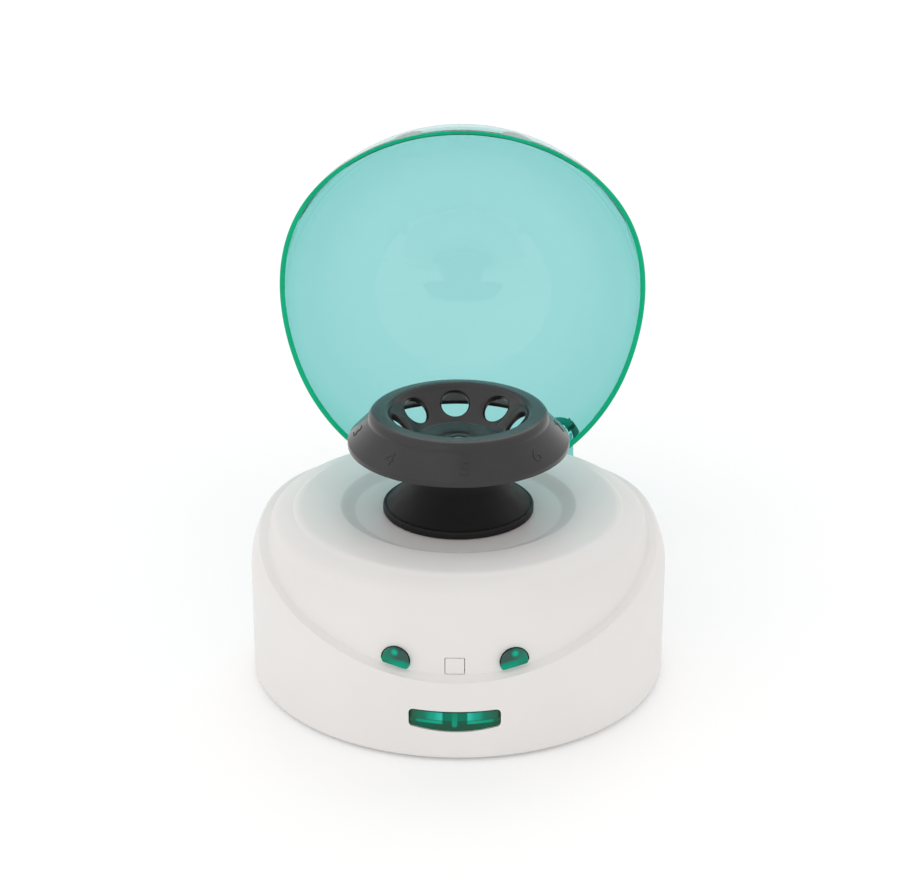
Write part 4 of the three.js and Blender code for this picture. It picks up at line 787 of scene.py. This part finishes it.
latch_lens = yoke_bar(-YOKE_HALF, YOKE_HALF, YOKE_LOW, YOKE_BAR_TOP)
latch_lens.name = "latch_lens"
for bar in (
        (-STEM_HALF, STEM_HALF, STEM_LOW, YOKE_BAR_TOP),
        (-PUSHER_HALF, PUSHER_HALF, STEM_LOW, PUSHER_TOP),
        (-YOKE_HALF, -YOKE_UPRIGHT, YOKE_LOW, YOKE_HIGH),
        (YOKE_UPRIGHT, YOKE_HALF, YOKE_LOW, YOKE_HIGH)):
    carve(latch_lens, yoke_bar(*bar), how="UNION")
proud = FACE_RADIUS + NOSE_PROUD
for side in (-1, 1):
    nose = prism("nose", nose_outline(side, 0), "Y", AHEAD, YOKE_BACK)
    carve(latch_lens, carve(nose, round_bar(proud, *NOSE_BAND), how="INTERSECT"), how="UNION")
    core = prism("core", nose_outline(side, -NOSE_WALL), "Y", AHEAD, NOSE_CORE_BACK)
    carve(latch_lens, carve(core, round_bar(proud - NOSE_WALL, *NOSE_BAND), how="INTERSECT"))
    centre = (side * NOSE_X, NOSE_FLAT_Z + NOSE_POST_RISE)
    post = prism("post", disc(NOSE_POST_RADIUS, centre), "Y", AHEAD, YOKE_BACK)
    carve(post, round_bar(proud - NOSE_POST_GAP, *NOSE_BAND), how="INTERSECT")
    carve(latch_lens, post, how="UNION")
smooth(latch_lens, 30)
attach(latch_lens, "release")
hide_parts("latch_yoke")
print("yoke with noses:", len(latch_lens.data.polygons), "faces")

# %% [markdown]
# ## Sensing tab
# Between the noses a small square tongue in the face feels whether the lid is shut. On the real
# body it is part of the same moulding. Here it is a piece of its own, cut from a ring with the
# face's radius, so that it lies flush and can still bend in.

# %% Sensing tab
TAB_SPREAD, TAB_LIFT = 0.12, 0.08
TAB_STEM_HALF, TAB_STEM_Z, TAB_STEM_FRONT, TAB_STEM_BACK = 1.2, 36.4, -76.0, -67.7

low = (-TAB_HALF - TAB_SPREAD, TAB_LOW - TAB_SPREAD)
high = (TAB_HALF + TAB_SPREAD, TAB_HIGH + TAB_LIFT)
tab_plate = prism("tab_plate", rounded(box_outline(low, high), 0.35), "Y", TAB_AHEAD, YOKE_FRONT)
inner = FACE_RADIUS - BODY_WALL
ring = turned("ring", [[inner, 30], [FACE_RADIUS, 30], [FACE_RADIUS, 45], [inner, 45]], 256)
carve(tab_plate, ring, how="INTERSECT")
low = (-TAB_STEM_HALF, TAB_STEM_Z - TAB_STEM_HALF)
high = (TAB_STEM_HALF, TAB_STEM_Z + TAB_STEM_HALF)
stem = prism("stem", box_outline(low, high), "Y", TAB_STEM_FRONT, TAB_STEM_BACK)
carve(tab_plate, stem, how="UNION")
smooth(tab_plate, 30)
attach(tab_plate, "tab")
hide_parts("lid_tab")
print("tab:", len(tab_plate.data.polygons), "faces")

# %% [markdown]
# ## Feet
# The feet are soft rubber pads with a rounded sole and a shallow dish, so each is turned from an
# outline and set on its ring. The bottom cover above them stays the measured node, with its
# edges rounded by a bevel further down.

# %% Feet
FOOT_RING, FOOT_RADIUS, FOOT_HEIGHT, SOLE_EDGE = 60.0, 7.0, 2.9, 0.8
DISH_RADIUS, DISH_DEPTH = 3.4, 0.5

sole = [[0, DISH_DEPTH], [DISH_RADIUS, DISH_DEPTH], [DISH_RADIUS + 1, 0.0]]
sole += [[FOOT_RADIUS - SOLE_EDGE, 0.0], [FOOT_RADIUS, SOLE_EDGE]]
sole += [[FOOT_RADIUS, FOOT_HEIGHT], [0, FOOT_HEIGHT]]
feet = []
for k, degrees in enumerate((45, 135, 225, 315)):
    foot = turned(f"rubber_foot_{k + 1}", rounded(sole, 0.3, 3), 64)
    angle = math.radians(degrees)
    place = FOOT_RING * np.array([math.cos(angle), math.sin(angle)])
    foot.data.transform(Matrix.Translation((place[0] * MM, place[1] * MM, 0)))
    feet.append(smooth(foot, 40))
    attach(foot, "base")
    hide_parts(f"foot_{k + 1}")
print("four feet at a radius of", FOOT_RING, "mm")

# %% [markdown]
# ## Numbers on the rotor's skirt
# On the real rotor each place has a number, moulded a fifth of a millimetre proud of the skirt.
# Painting them on would look flat from the side. So they are text objects, turned into meshes,
# leaned back along the skirt's slope and joined into one piece.

# %% Numbers on the rotor's skirt
NUMBER_RADIUS, NUMBER_SIZE, NUMBER_STRETCH = 38.6, 7.6, 1.3
NUMBERS_FROM_THE_FRONT = "56781234"

low, high = np.array(SKIRT_LOW), np.array(SKIRT_HIGH)
run = (high - low) / np.linalg.norm(high - low)
number_z = low[1] + (low[0] - NUMBER_RADIUS) / (low[0] - high[0]) * (high[1] - low[1])
all_numbers = bmesh.new()
for k, figure in enumerate(NUMBERS_FROM_THE_FRONT):
    text = bpy.data.curves.new("figure", "FONT")
    text.body, text.size = figure, NUMBER_SIZE * MM
    text.align_x, text.align_y = "CENTER", "CENTER"
    text.extrude, text.bevel_depth, text.bevel_resolution = 0.00012, 0.00008, 1
    text.offset = -0.00016
    holder = link("figure", text)
    seen = holder.evaluated_get(bpy.context.evaluated_depsgraph_get())
    mesh = bpy.data.meshes.new_from_object(seen)
    angle = math.radians(-90 + 45 * k) + REST_TURN
    out = Vector((math.cos(angle), math.sin(angle), 0))
    across, up = Vector((-out.y, out.x, 0)), Vector((out.x * run[0], out.y * run[0], run[1]))
    turn = Matrix((across * NUMBER_STRETCH, up, across.cross(up))).transposed().to_4x4()
    seat = out * (NUMBER_RADIUS * MM) + Vector((0, 0, number_z * MM))
    mesh.transform(Matrix.Translation(seat) @ turn)
    all_numbers.from_mesh(mesh)
    bpy.data.objects.remove(holder)
number_mesh = bpy.data.meshes.new("skirt_numbers")
bmesh.ops.remove_doubles(all_numbers, verts=all_numbers.verts, dist=1e-6)
all_numbers.to_mesh(number_mesh)
all_numbers.free()
skirt_numbers = smooth(link("skirt_numbers", number_mesh), 40)
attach(skirt_numbers, "spindle")
print("numbers:", len(number_mesh.polygons), "faces,", round(float(number_z), 1), "mm high up")

# %% [markdown]
# ## Finishes
# Each finish is built from nodes, so it has grain at a real scale: a fine mould texture on the
# white plastic, a sandier one on the rotor, a soft bloom on the rubber. A value that is the same
# all over sits on the shader itself, and only what varies comes from a noise or a place.

# %% Nodes that every finish uses
def new_finish(name):
    material = bpy.data.materials.new(name)
    material.use_nodes = True
    tree = material.node_tree
    return material, tree, tree.nodes["Principled BSDF"]


def object_noise(tree, scale, detail=3.0, rough=0.5):
    place = tree.nodes.new("ShaderNodeTexCoord")
    noise = tree.nodes.new("ShaderNodeTexNoise")
    noise.inputs["Scale"].default_value = scale
    noise.inputs["Detail"].default_value = detail
    noise.inputs["Roughness"].default_value = rough
    tree.links.new(place.outputs["Object"], noise.inputs["Vector"])
    return noise.outputs["Fac"]


def map_range(tree, value, source, target=(0.0, 1.0)):
    """The value, moved from one range of numbers to another."""
    node = tree.nodes.new("ShaderNodeMapRange")
    for name, number in zip(("From Min", "From Max", "To Min", "To Max"), (*source, *target)):
        node.inputs[name].default_value = number
    tree.links.new(value, node.inputs["Value"])
    return node.outputs["Result"]


def lay_ramp(tree, share, stops, kind="LINEAR"):
    """Colours along a share from 0 to 1; each stop is (share, colour)."""
    ramp = tree.nodes.new("ShaderNodeValToRGB")
    ramp.color_ramp.interpolation = kind
    elements = ramp.color_ramp.elements
    while len(elements) < len(stops):
        elements.new(0.5)
    for element, (place, colour) in zip(elements, stops):
        element.position = place
        element.color = (*colour, 1)
    tree.links.new(share, ramp.inputs["Fac"])
    return ramp.outputs["Color"]


print("noise, ranges and ramps ready")

# %% Colour, gloss and grain
NOISE_RANGE = (0.3, 0.7)


def vary_colour(tree, shader, dark, light, scale):
    stops = list(zip(NOISE_RANGE, (dark, light)))
    tree.links.new(lay_ramp(tree, object_noise(tree, scale), stops), shader.inputs["Base Color"])


def vary_roughness(tree, shader, low, high, scale):
    spread = map_range(tree, object_noise(tree, scale, 4.0), NOISE_RANGE, (low, high))
    tree.links.new(spread, shader.inputs["Roughness"])


def grain(tree, shader, scale, depth_mm, strength):
    bump = tree.nodes.new("ShaderNodeBump")
    bump.inputs["Strength"].default_value = strength
    bump.inputs["Distance"].default_value = depth_mm * MM
    tree.links.new(object_noise(tree, scale, 2.0, 0.6), bump.inputs["Height"])
    tree.links.new(bump.outputs["Normal"], shader.inputs["Normal"])


def wear(piece, material):
    piece.data.materials.clear()
    piece.data.materials.append(material)


print("a noise is read between", NOISE_RANGE)

# %% White body plastic
white_plastic, tree, shader = new_finish("white_plastic")
vary_colour(tree, shader, (0.770, 0.745, 0.730), (0.795, 0.772, 0.758), 22.0)
vary_roughness(tree, shader, 0.36, 0.46, 90.0)
grain(tree, shader, 2600.0, 0.02, 0.25)
shader.inputs["Subsurface Weight"].default_value = 0.08
shader.inputs["Subsurface Radius"].default_value = (0.0012, 0.0010, 0.0009)
shader.inputs["Subsurface Scale"].default_value = 1.0
for piece in (body_shell, tab_plate):
    wear(piece, white_plastic)
print("white plastic on body and tab")

# %% [markdown]
# ## Clear lid, its rim and its loop
# The real lid is a tinted sheet whose colour looks deeper toward the rim, where the curved wall is
# seen at a slant, and whose cut edge glows a deep green. Glass with a colour inside its volume
# would do that too, but it takes long to render and darkens what stands behind it. So the sheet is
# a clear shader with a tint that follows the place: the deeper colour toward the rim is painted
# shade, and a paler colour on the up-facing crown is painted light. Rim and loop, where light
# gathers, are solid greens, and the loop's darker green is painted shade.

# %% Nodes that reckon with places
def reckon(tree, operation, first, second=None):
    """A math node between sockets or numbers."""
    node = tree.nodes.new("ShaderNodeMath")
    node.operation = operation
    for socket, value in zip(node.inputs, (first, second)):
        if isinstance(value, bpy.types.NodeSocket):
            tree.links.new(value, socket)
        elif value is not None:
            socket.default_value = value
    return node.outputs[0]


def times(tree, first, second):
    return reckon(tree, "MULTIPLY", first, second)


def split_place(tree, kind):
    """The x, y and z of a texture coordinate."""
    place = tree.nodes.new("ShaderNodeTexCoord")
    split = tree.nodes.new("ShaderNodeSeparateXYZ")
    tree.links.new(place.outputs[kind], split.inputs[0])
    return [split.outputs[axis] for axis in "XYZ"]


def object_millimetres(tree):
    return [times(tree, value, 1000.0) for value in split_place(tree, "Object")]


def waver(tree, value, scale, size):
    """The value with a little noise added, so that no edge is dead straight."""
    return reckon(tree, "ADD", value, times(tree, object_noise(tree, scale), size))


print("places are read in millimetres")

# %% Nodes that lay colours by place
def colour_ramp(tree, value, low, high, stops):
    """Colours along a value that runs from low to high; each stop is (value, colour)."""
    shares = [((place - low) / (high - low), colour) for place, colour in stops]
    return lay_ramp(tree, map_range(tree, value, (low, high)), shares, "EASE")


def mask(tree, value, low, high, *stops):
    """Black and white along a value. A blend takes its second colour where this is white."""
    return colour_ramp(tree, value, low, high, [(place, (shade,) * 3) for place, shade in stops])


def blend(tree, share, first, second):
    mix = tree.nodes.new("ShaderNodeMix")
    mix.data_type = "RGBA"
    for socket, value in (("Factor", share), ("A", first), ("B", second)):
        tree.links.new(value, mix.inputs[socket])
    return mix.outputs["Result"]


def let_lamps_through(tree, shader, tint):
    """Real clear plastic passes light on to what is behind it, so shadows are only tinted."""
    path = tree.nodes.new("ShaderNodeLightPath")
    clear = tree.nodes.new("ShaderNodeBsdfTransparent")
    clear.inputs["Color"].default_value = (*tint, 1)
    mix = tree.nodes.new("ShaderNodeMixShader")
    tree.links.new(path.outputs["Is Shadow Ray"], mix.inputs["Fac"])
    tree.links.new(shader.outputs["BSDF"], mix.inputs[1])
    tree.links.new(clear.outputs["BSDF"], mix.inputs[2])
    tree.links.new(mix.outputs["Shader"], tree.nodes["Material Output"].inputs["Surface"])


print("ramps, masks and blends ready")

# %% Clear sheet
# The open lid stands upright, with its rim in front and its crown behind. The teal tint deepens
# toward the rim as painted shade, for the wall seen at a slant there, so the tint follows y
lid_plastic, tree, shader = new_finish("lid_plastic")
x, y, z = object_millimetres(tree)
tint = colour_ramp(tree, waver(tree, y, 14.0, 6.0), 84.0, 144.0, [
    (84.0, (0.150, 0.545, 0.490)), (92.0, (0.210, 0.590, 0.560)),
    (112.0, (0.290, 0.650, 0.640)), (144.0, (0.325, 0.675, 0.675))])
# Painted light: the up-facing faces high on the crown, toward the rim, are painted a paler colour
facing_up = reckon(tree, "ABSOLUTE", split_place(tree, "Normal")[2])
upper_half = reckon(tree, "GREATER_THAN", z, 120.0)
near_rim = mask(tree, y, 60.0, 120.0, (92.0, 1), (99.0, 0))
painted_light_share = times(tree, times(tree, facing_up, upper_half), near_rim)
top = mask(tree, painted_light_share, 0.0, 1.0, (0.62, 0), (0.86, 1))
painted_light_colour = colour_ramp(
    tree, z, 100.0, 200.0, [(100.0, (0.38, 0.72, 0.71)), (200.0, (0.56, 0.84, 0.83))])
tree.links.new(blend(tree, top, tint, painted_light_colour), shader.inputs["Base Color"])
vary_roughness(tree, shader, 0.02, 0.05, 60.0)
grain(tree, shader, 35.0, 0.05, 0.06)
shader.inputs["Transmission Weight"].default_value = 1.0
shader.inputs["IOR"].default_value = 1.36
let_lamps_through(tree, shader, (0.42, 0.78, 0.77))
print("clear sheet ready")

# %% Rim and loop
lid_rim, tree, shader = new_finish("lid_rim")
vary_colour(tree, shader, (0.000, 0.41, 0.195), (0.004, 0.47, 0.235), 40.0)
vary_roughness(tree, shader, 0.22, 0.34, 120.0)
shader.inputs["Specular IOR Level"].default_value = 0.12

# The loop is the same green edge as the rim, painted darker: painted shade, as the loop stands in
# shade
lid_loop_shaded, tree, shader = new_finish("lid_loop_shaded")
vary_colour(tree, shader, (0.000, 0.230, 0.160), (0.002, 0.300, 0.220), 90.0)
vary_roughness(tree, shader, 0.1, 0.2, 120.0)
shader.inputs["Specular IOR Level"].default_value = 0.15
let_lamps_through(tree, shader, (0.2, 0.75, 0.6))

for finish in (lid_plastic, lid_rim, lid_loop_shaded):
    clear_lid.data.materials.append(finish)
for face, zone in zip(clear_lid.data.polygons, lid_zones):
    face.material_index = zone
print("lid finishes:", [m.name for m in clear_lid.data.materials])

# %% [markdown]
# ## Green plastic of button and noses
# Both lenses are thin in front of a lit pocket. The ribs, the post and the pocket's floor show
# through as brighter and darker fields of light and shade. Tracing that light through real ribs
# gives a noisy picture, so the light and shade are painted on as soft ramps of the green whose
# places follow the ribs' real places.

# %% Finish of a lens
def green_finish(name, painted_light):
    material, tree, shader = new_finish(name)
    x, y, z = object_millimetres(tree)
    tree.links.new(painted_light(tree, x, z), shader.inputs["Base Color"])
    vary_roughness(tree, shader, 0.05, 0.12, 200.0)
    grain(tree, shader, 700.0, 0.01, 0.1)
    shader.inputs["Specular IOR Level"].default_value = 0.12
    let_lamps_through(tree, shader, (0.15, 0.75, 0.6))
    return material


def distance(tree, first, second):
    squares = [times(tree, side, side) for side in (first, second)]
    return reckon(tree, "SQRT", reckon(tree, "ADD", *squares))


print("lens finish ready")

# %% Fields of the button
BUTTON_SPAN, BUTTON_ROWS, BUTTON_ROW_SAG = (0.0, 17.0), (12.0, 22.0), -0.0030


def button_painted_light(tree, x, z):
    # The plastic's green with painted light and shade: brighter windows beside the ribs in the
    # upper half, a darker pocket floor below, painted highlights along a rib row and on the post
    side = reckon(tree, "ABSOLUTE", x)
    row = reckon(tree, "ADD", times(tree, times(tree, x, x), BUTTON_ROW_SAG), z)
    edge = waver(tree, side, 260.0, 0.8)
    painted_window_light = colour_ramp(tree, edge, *BUTTON_SPAN, [
        (0.0, (0.002, 0.190, 0.110)), (4.6, (0.002, 0.170, 0.105)), (5.2, (0.030, 0.52, 0.39)),
        (8.5, (0.010, 0.34, 0.24)), (12.0, (0.010, 0.170, 0.105)), (15.4, (0.024, 0.115, 0.070)),
        (16.6, (0.010, 0.060, 0.040))])
    floor = colour_ramp(tree, edge, *BUTTON_SPAN, [
        (0.0, (0.012, 0.090, 0.052)), (4.8, (0.016, 0.090, 0.052)), (12.0, (0.006, 0.115, 0.062)),
        (16.0, (0.014, 0.090, 0.052))])
    line = colour_ramp(tree, edge, *BUTTON_SPAN, [
        (0.0, (0.012, 0.100, 0.060)), (4.6, (0.012, 0.100, 0.060)), (5.4, (0.004, 0.40, 0.245)),
        (13.5, (0.004, 0.30, 0.190)), (15.0, (0.014, 0.120, 0.070))])
    upper = mask(tree, row, *BUTTON_ROWS, (16.5, 0), (17.1, 1))
    colour = blend(tree, upper, floor, painted_window_light)
    painted_highlight_rows = mask(tree, row, *BUTTON_ROWS, (15.2, 0), (15.75, 1), (16.35, 1), (16.8, 0))
    colour = blend(tree, painted_highlight_rows, colour, line)
    below = times(tree, reckon(tree, "SUBTRACT", z, BUTTON_POST_Z), -1.0)
    around = distance(tree, x, reckon(tree, "MAXIMUM", below, 0.0))
    post = mask(tree, around, 0.0, 3.0, (0.75, 1), (1.15, 0))
    colour = blend(tree, post, colour, colour_ramp(tree, row, *BUTTON_ROWS, [
        (13.5, (0.004, 0.31, 0.185)), (20.0, (0.004, 0.25, 0.150))]))
    # Painted shadow: a dark band along the top, where the window's top edge shades the sunk button
    top = mask(tree, row, *BUTTON_ROWS, (19.75, 0), (20.25, 1))
    return blend(tree, top, colour, colour_ramp(tree, side, *BUTTON_SPAN, [
        (0.0, (0.010, 0.075, 0.050)), (16.0, (0.020, 0.070, 0.048))]))


wear(button_lens, green_finish("green_button", button_painted_light))
print("green plastic on the button")

# %% Fields of the noses
NOSE_ROWS, NOSE_SPAN, SPOT_ASIDE, SPOT_HEIGHT = (0.0, 8.0), (-6.0, 6.0), 1.0, 5.3


def nose_painted_light(tree, x, z):
    cos, sin = math.cos(NOSE_TILT), math.sin(NOSE_TILT)
    across = reckon(tree, "SUBTRACT", reckon(tree, "ABSOLUTE", x), NOSE_X)
    up = reckon(tree, "SUBTRACT", z, NOSE_FLAT_Z)
    height = reckon(tree, "SUBTRACT", times(tree, up, cos), times(tree, across, sin))
    aside = reckon(tree, "ADD", times(tree, across, cos), times(tree, up, sin))
    row = waver(tree, height, 420.0, 1.4)
    # Painted light and shade in the green: brighter low by the flat foot, darker higher up the
    # pocket
    inner = colour_ramp(tree, row, *NOSE_ROWS, [
        (0.6, (0.006, 0.22, 0.135)), (1.4, (0.002, 0.32, 0.20)), (2.6, (0.004, 0.27, 0.170)),
        (3.9, (0.040, 0.105, 0.085)), (6.6, (0.045, 0.100, 0.085)), (7.7, (0.020, 0.085, 0.065))])
    outer = colour_ramp(tree, row, *NOSE_ROWS, [
        (0.6, (0.006, 0.20, 0.120)), (2.4, (0.010, 0.23, 0.145)), (4.4, (0.022, 0.18, 0.120)),
        (7.7, (0.025, 0.13, 0.095))])
    colour = blend(tree, mask(tree, aside, *NOSE_SPAN, (-0.8, 0), (3.2, 1)), inner, outer)
    # Painted highlight: a bright spot of light caught inside the nose
    from_spot = [reckon(tree, "SUBTRACT", height, SPOT_HEIGHT),
                 reckon(tree, "SUBTRACT", aside, SPOT_ASIDE)]
    around = distance(tree, *from_spot)
    painted_glint = colour_ramp(
        tree, around, 0.0, 3.0, [(0.2, (0.002, 0.43, 0.28)), (1.4, (0.004, 0.33, 0.21))])
    return blend(tree, mask(tree, around, 0.0, 3.0, (0.7, 1), (1.7, 0)), colour, painted_glint)


wear(latch_lens, green_finish("green_noses", nose_painted_light))
print("green plastic on the noses")

# %% [markdown]
# ## Dark plastics, rubber and metals
# The rotor is a glossy near-black plastic, the boot and feet are a duller rubber, and the pieces
# inside and behind are plain mouldings, a painted board and sheet metal. Drawn and turned metal
# has fine lines one way, so its noise is stretched along one axis, which a plain noise isn't.

# %% Rotor and rubber
rotor_plastic, tree, shader = new_finish("rotor_plastic")
vary_colour(tree, shader, (0.0205, 0.0188, 0.0188), (0.0265, 0.0245, 0.0245), 60.0)
vary_roughness(tree, shader, 0.19, 0.26, 140.0)
grain(tree, shader, 1900.0, 0.006, 0.15)
shader.inputs["Specular IOR Level"].default_value = 0.42

black_rubber, tree, shader = new_finish("black_rubber")
vary_colour(tree, shader, (0.006, 0.0055, 0.0055), (0.010, 0.0095, 0.0095), 45.0)
vary_roughness(tree, shader, 0.5, 0.62, 110.0)
grain(tree, shader, 1400.0, 0.01, 0.2)
shader.inputs["Specular IOR Level"].default_value = 0.25

for piece in (tube_rotor, skirt_numbers):
    wear(piece, rotor_plastic)
for piece in (shaft_boot, *feet):
    wear(piece, black_rubber)
print("rotor, numbers, boot and feet have their finish")

# %% Plain mouldings and the board
def plain_finish(name, dark, light, patches, gloss, grain_scale, depth):
    material, tree, shader = new_finish(name)
    vary_colour(tree, shader, dark, light, patches)
    vary_roughness(tree, shader, *gloss, 2 * patches)
    grain(tree, shader, grain_scale, depth, 0.35)
    return material


cover_plastic = plain_finish(
    "cover_plastic", (0.63, 0.61, 0.60), (0.68, 0.66, 0.65), 30.0, (0.5, 0.62), 1500.0, 0.04)
black_plastic = plain_finish(
    "black_plastic", (0.016, 0.016, 0.017), (0.024, 0.024, 0.026), 90.0, (0.4, 0.55), 2200.0, 0.02)
nylon = plain_finish(
    "white_nylon", (0.72, 0.70, 0.65), (0.78, 0.76, 0.71), 120.0, (0.4, 0.5), 900.0, 0.01)
board_mask = plain_finish(
    "board_mask", (0.008, 0.075, 0.025), (0.015, 0.110, 0.040), 260.0, (0.25, 0.4), 1200.0, 0.01)
print("plain mouldings and board ready")

# %% Metals
def metal(name, dark, light, gloss, stretch):
    """Metal with fine lines along one direction, as a drawn or turned surface has."""
    material, tree, shader = new_finish(name)
    shader.inputs["Metallic"].default_value = 1.0
    vary_colour(tree, shader, dark, light, 80.0)
    place = tree.nodes.new("ShaderNodeTexCoord")
    stretched = tree.nodes.new("ShaderNodeMapping")
    stretched.inputs["Scale"].default_value = stretch
    tree.links.new(place.outputs["Object"], stretched.inputs["Vector"])
    noise = tree.nodes.new("ShaderNodeTexNoise")
    noise.inputs["Scale"].default_value = 60.0
    tree.links.new(stretched.outputs["Vector"], noise.inputs["Vector"])
    lines = map_range(tree, noise.outputs["Fac"], (0.0, 1.0), gloss)
    tree.links.new(lines, shader.inputs["Roughness"])
    return material


zinc_steel = metal("zinc_steel", (0.50, 0.51, 0.53), (0.62, 0.63, 0.65), (0.22, 0.42), (1, 1, 14))
can_steel = metal("can_steel", (0.42, 0.43, 0.45), (0.52, 0.53, 0.55), (0.25, 0.45), (1, 1, 20))
aluminium = metal(
    "aluminium_sheet", (0.62, 0.63, 0.65), (0.70, 0.71, 0.73), (0.3, 0.45), (1, 12, 1))
print("metals ready")

# %% Finishes of the measured nodes that stay
EDGE_WIDTH, EDGE_ANGLE = 0.3, math.radians(32)
FINISH_BY_NODE = {
    "bottom_cover": cover_plastic, "motor": can_steel, "motor_plate": aluminium,
    "lid_switch": black_plastic, "switch_plunger": nylon, "control_board": board_mask,
    "board_capacitor": black_plastic, "board_regulator": black_plastic, "board_connector": nylon,
    "power_inlet": black_plastic, "power_switch_frame": black_plastic,
    "power_rocker": black_plastic,
}


def edged(piece):
    """Rounds the hard edges, as a mould leaves them."""
    step = piece.modifiers.new("edge", "BEVEL")
    step.width, step.segments, step.limit_method = EDGE_WIDTH * MM, 2, "ANGLE"
    step.angle_limit = EDGE_ANGLE
    step.harden_normals = True


kept = 0
for name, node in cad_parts.items():
    if node.hide_render:
        continue
    finish = FINISH_BY_NODE.get(name, black_rubber if "damper" in name else zinc_steel)
    for slot in node.material_slots:
        slot.link = "OBJECT"
        slot.material = finish
    if not len(node.material_slots):
        node.data.materials.append(finish)
    if name.startswith("power") or name == "bottom_cover":
        edged(node)
    kept += 1
print("finishes on", kept, "measured nodes")

# %% [markdown]
# ## Light and floor
# A pale room lights the object evenly, as in a catalogue picture. Strong lamps would give hard
# shadows that such a picture doesn't have, so two weak and very soft suns only shape the walls
# and the lid. The room is a little brighter low down, as a pale bench makes it, and what is seen
# behind the object is plain white. The floor is pale, and darkens only where the object stands.

# %% Lamps
def soft_sun(name, direction, strength, spread):
    light = bpy.data.lights.new(name, "SUN")
    light.energy, light.angle = strength, math.radians(spread)
    lamp = link(name, light)
    lamp.rotation_euler = Vector(direction).to_track_quat("-Z", "Y").to_euler()


soft_sun("front_light", (0.65, 0.45, -0.60), 0.22, 80.0)
soft_sun("lid_light", (-0.10, -0.70, -0.70), 0.30, 40.0)
print("two soft suns ready")

# %% Room
ROOM_LOW, ROOM_HIGH = 1.03, 0.80

world = bpy.data.worlds.new("pale_room")
bpy.context.scene.world = world
world.use_nodes = True
tree = world.node_tree
room = tree.nodes["Background"]
room.inputs["Color"].default_value = (1.0, 0.995, 0.99, 1)
height = split_place(tree, "Generated")[2]
fall = map_range(tree, height, (0.0, 1.0), (ROOM_LOW, ROOM_HIGH))
tree.links.new(fall, room.inputs["Strength"])
seen = tree.nodes.new("ShaderNodeBackground")
seen.inputs["Color"].default_value, seen.inputs["Strength"].default_value = (1, 1, 1, 1), 1.0
path = tree.nodes.new("ShaderNodeLightPath")
either = reckon(tree, "MAXIMUM", path.outputs["Is Camera Ray"], path.outputs["Is Transmission Ray"])
either = reckon(tree, "MAXIMUM", either, path.outputs["Is Glossy Ray"])
mix = tree.nodes.new("ShaderNodeMixShader")
tree.links.new(either, mix.inputs["Fac"])
tree.links.new(room.outputs["Background"], mix.inputs[1])
tree.links.new(seen.outputs["Background"], mix.inputs[2])
tree.links.new(mix.outputs["Shader"], tree.nodes["World Output"].inputs["Surface"])
print("room strength from", ROOM_LOW, "low down to", ROOM_HIGH, "overhead")

# %% Floor
FLOOR_HALF = 6

corners = [(-FLOOR_HALF, -FLOOR_HALF, 0), (FLOOR_HALF, -FLOOR_HALF, 0),
           (FLOOR_HALF, FLOOR_HALF, 0), (-FLOOR_HALF, FLOOR_HALF, 0)]
floor_mesh = bpy.data.meshes.new("floor")
floor_mesh.from_pydata(corners, [], [(0, 1, 2, 3)])
floor = link("floor", floor_mesh)
floor_finish, tree, shader = new_finish("pale_floor")
shader.inputs["Base Color"].default_value = (0.9, 0.9, 0.9, 1)
shader.inputs["Roughness"].default_value = 0.9
shader.inputs["Specular IOR Level"].default_value = 0.1
shader.inputs["Emission Color"].default_value = (1, 1, 1, 1)
shader.inputs["Emission Strength"].default_value = 0.15
wear(floor, floor_finish)
floor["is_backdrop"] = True

view = bpy.context.scene.view_settings
view.view_transform = "Standard"
print("floor", 2 * FLOOR_HALF, "m wide, view transform", view.view_transform)

# %% [markdown]
# ## The size against the measured box
# The dressed model's box is taken again, and the last line prints how far each of its sides lies
# from the measured box, in millimetres.

# %% Size
dressed_box = [list(corner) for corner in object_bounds()]
pairs = zip(cad_box[0] + cad_box[1], dressed_box[0] + dressed_box[1])
growth = [round(1000 * (dressed - measured), 2) for measured, dressed in pairs]
print("dressed box against the measured one, in millimetres:", growth)
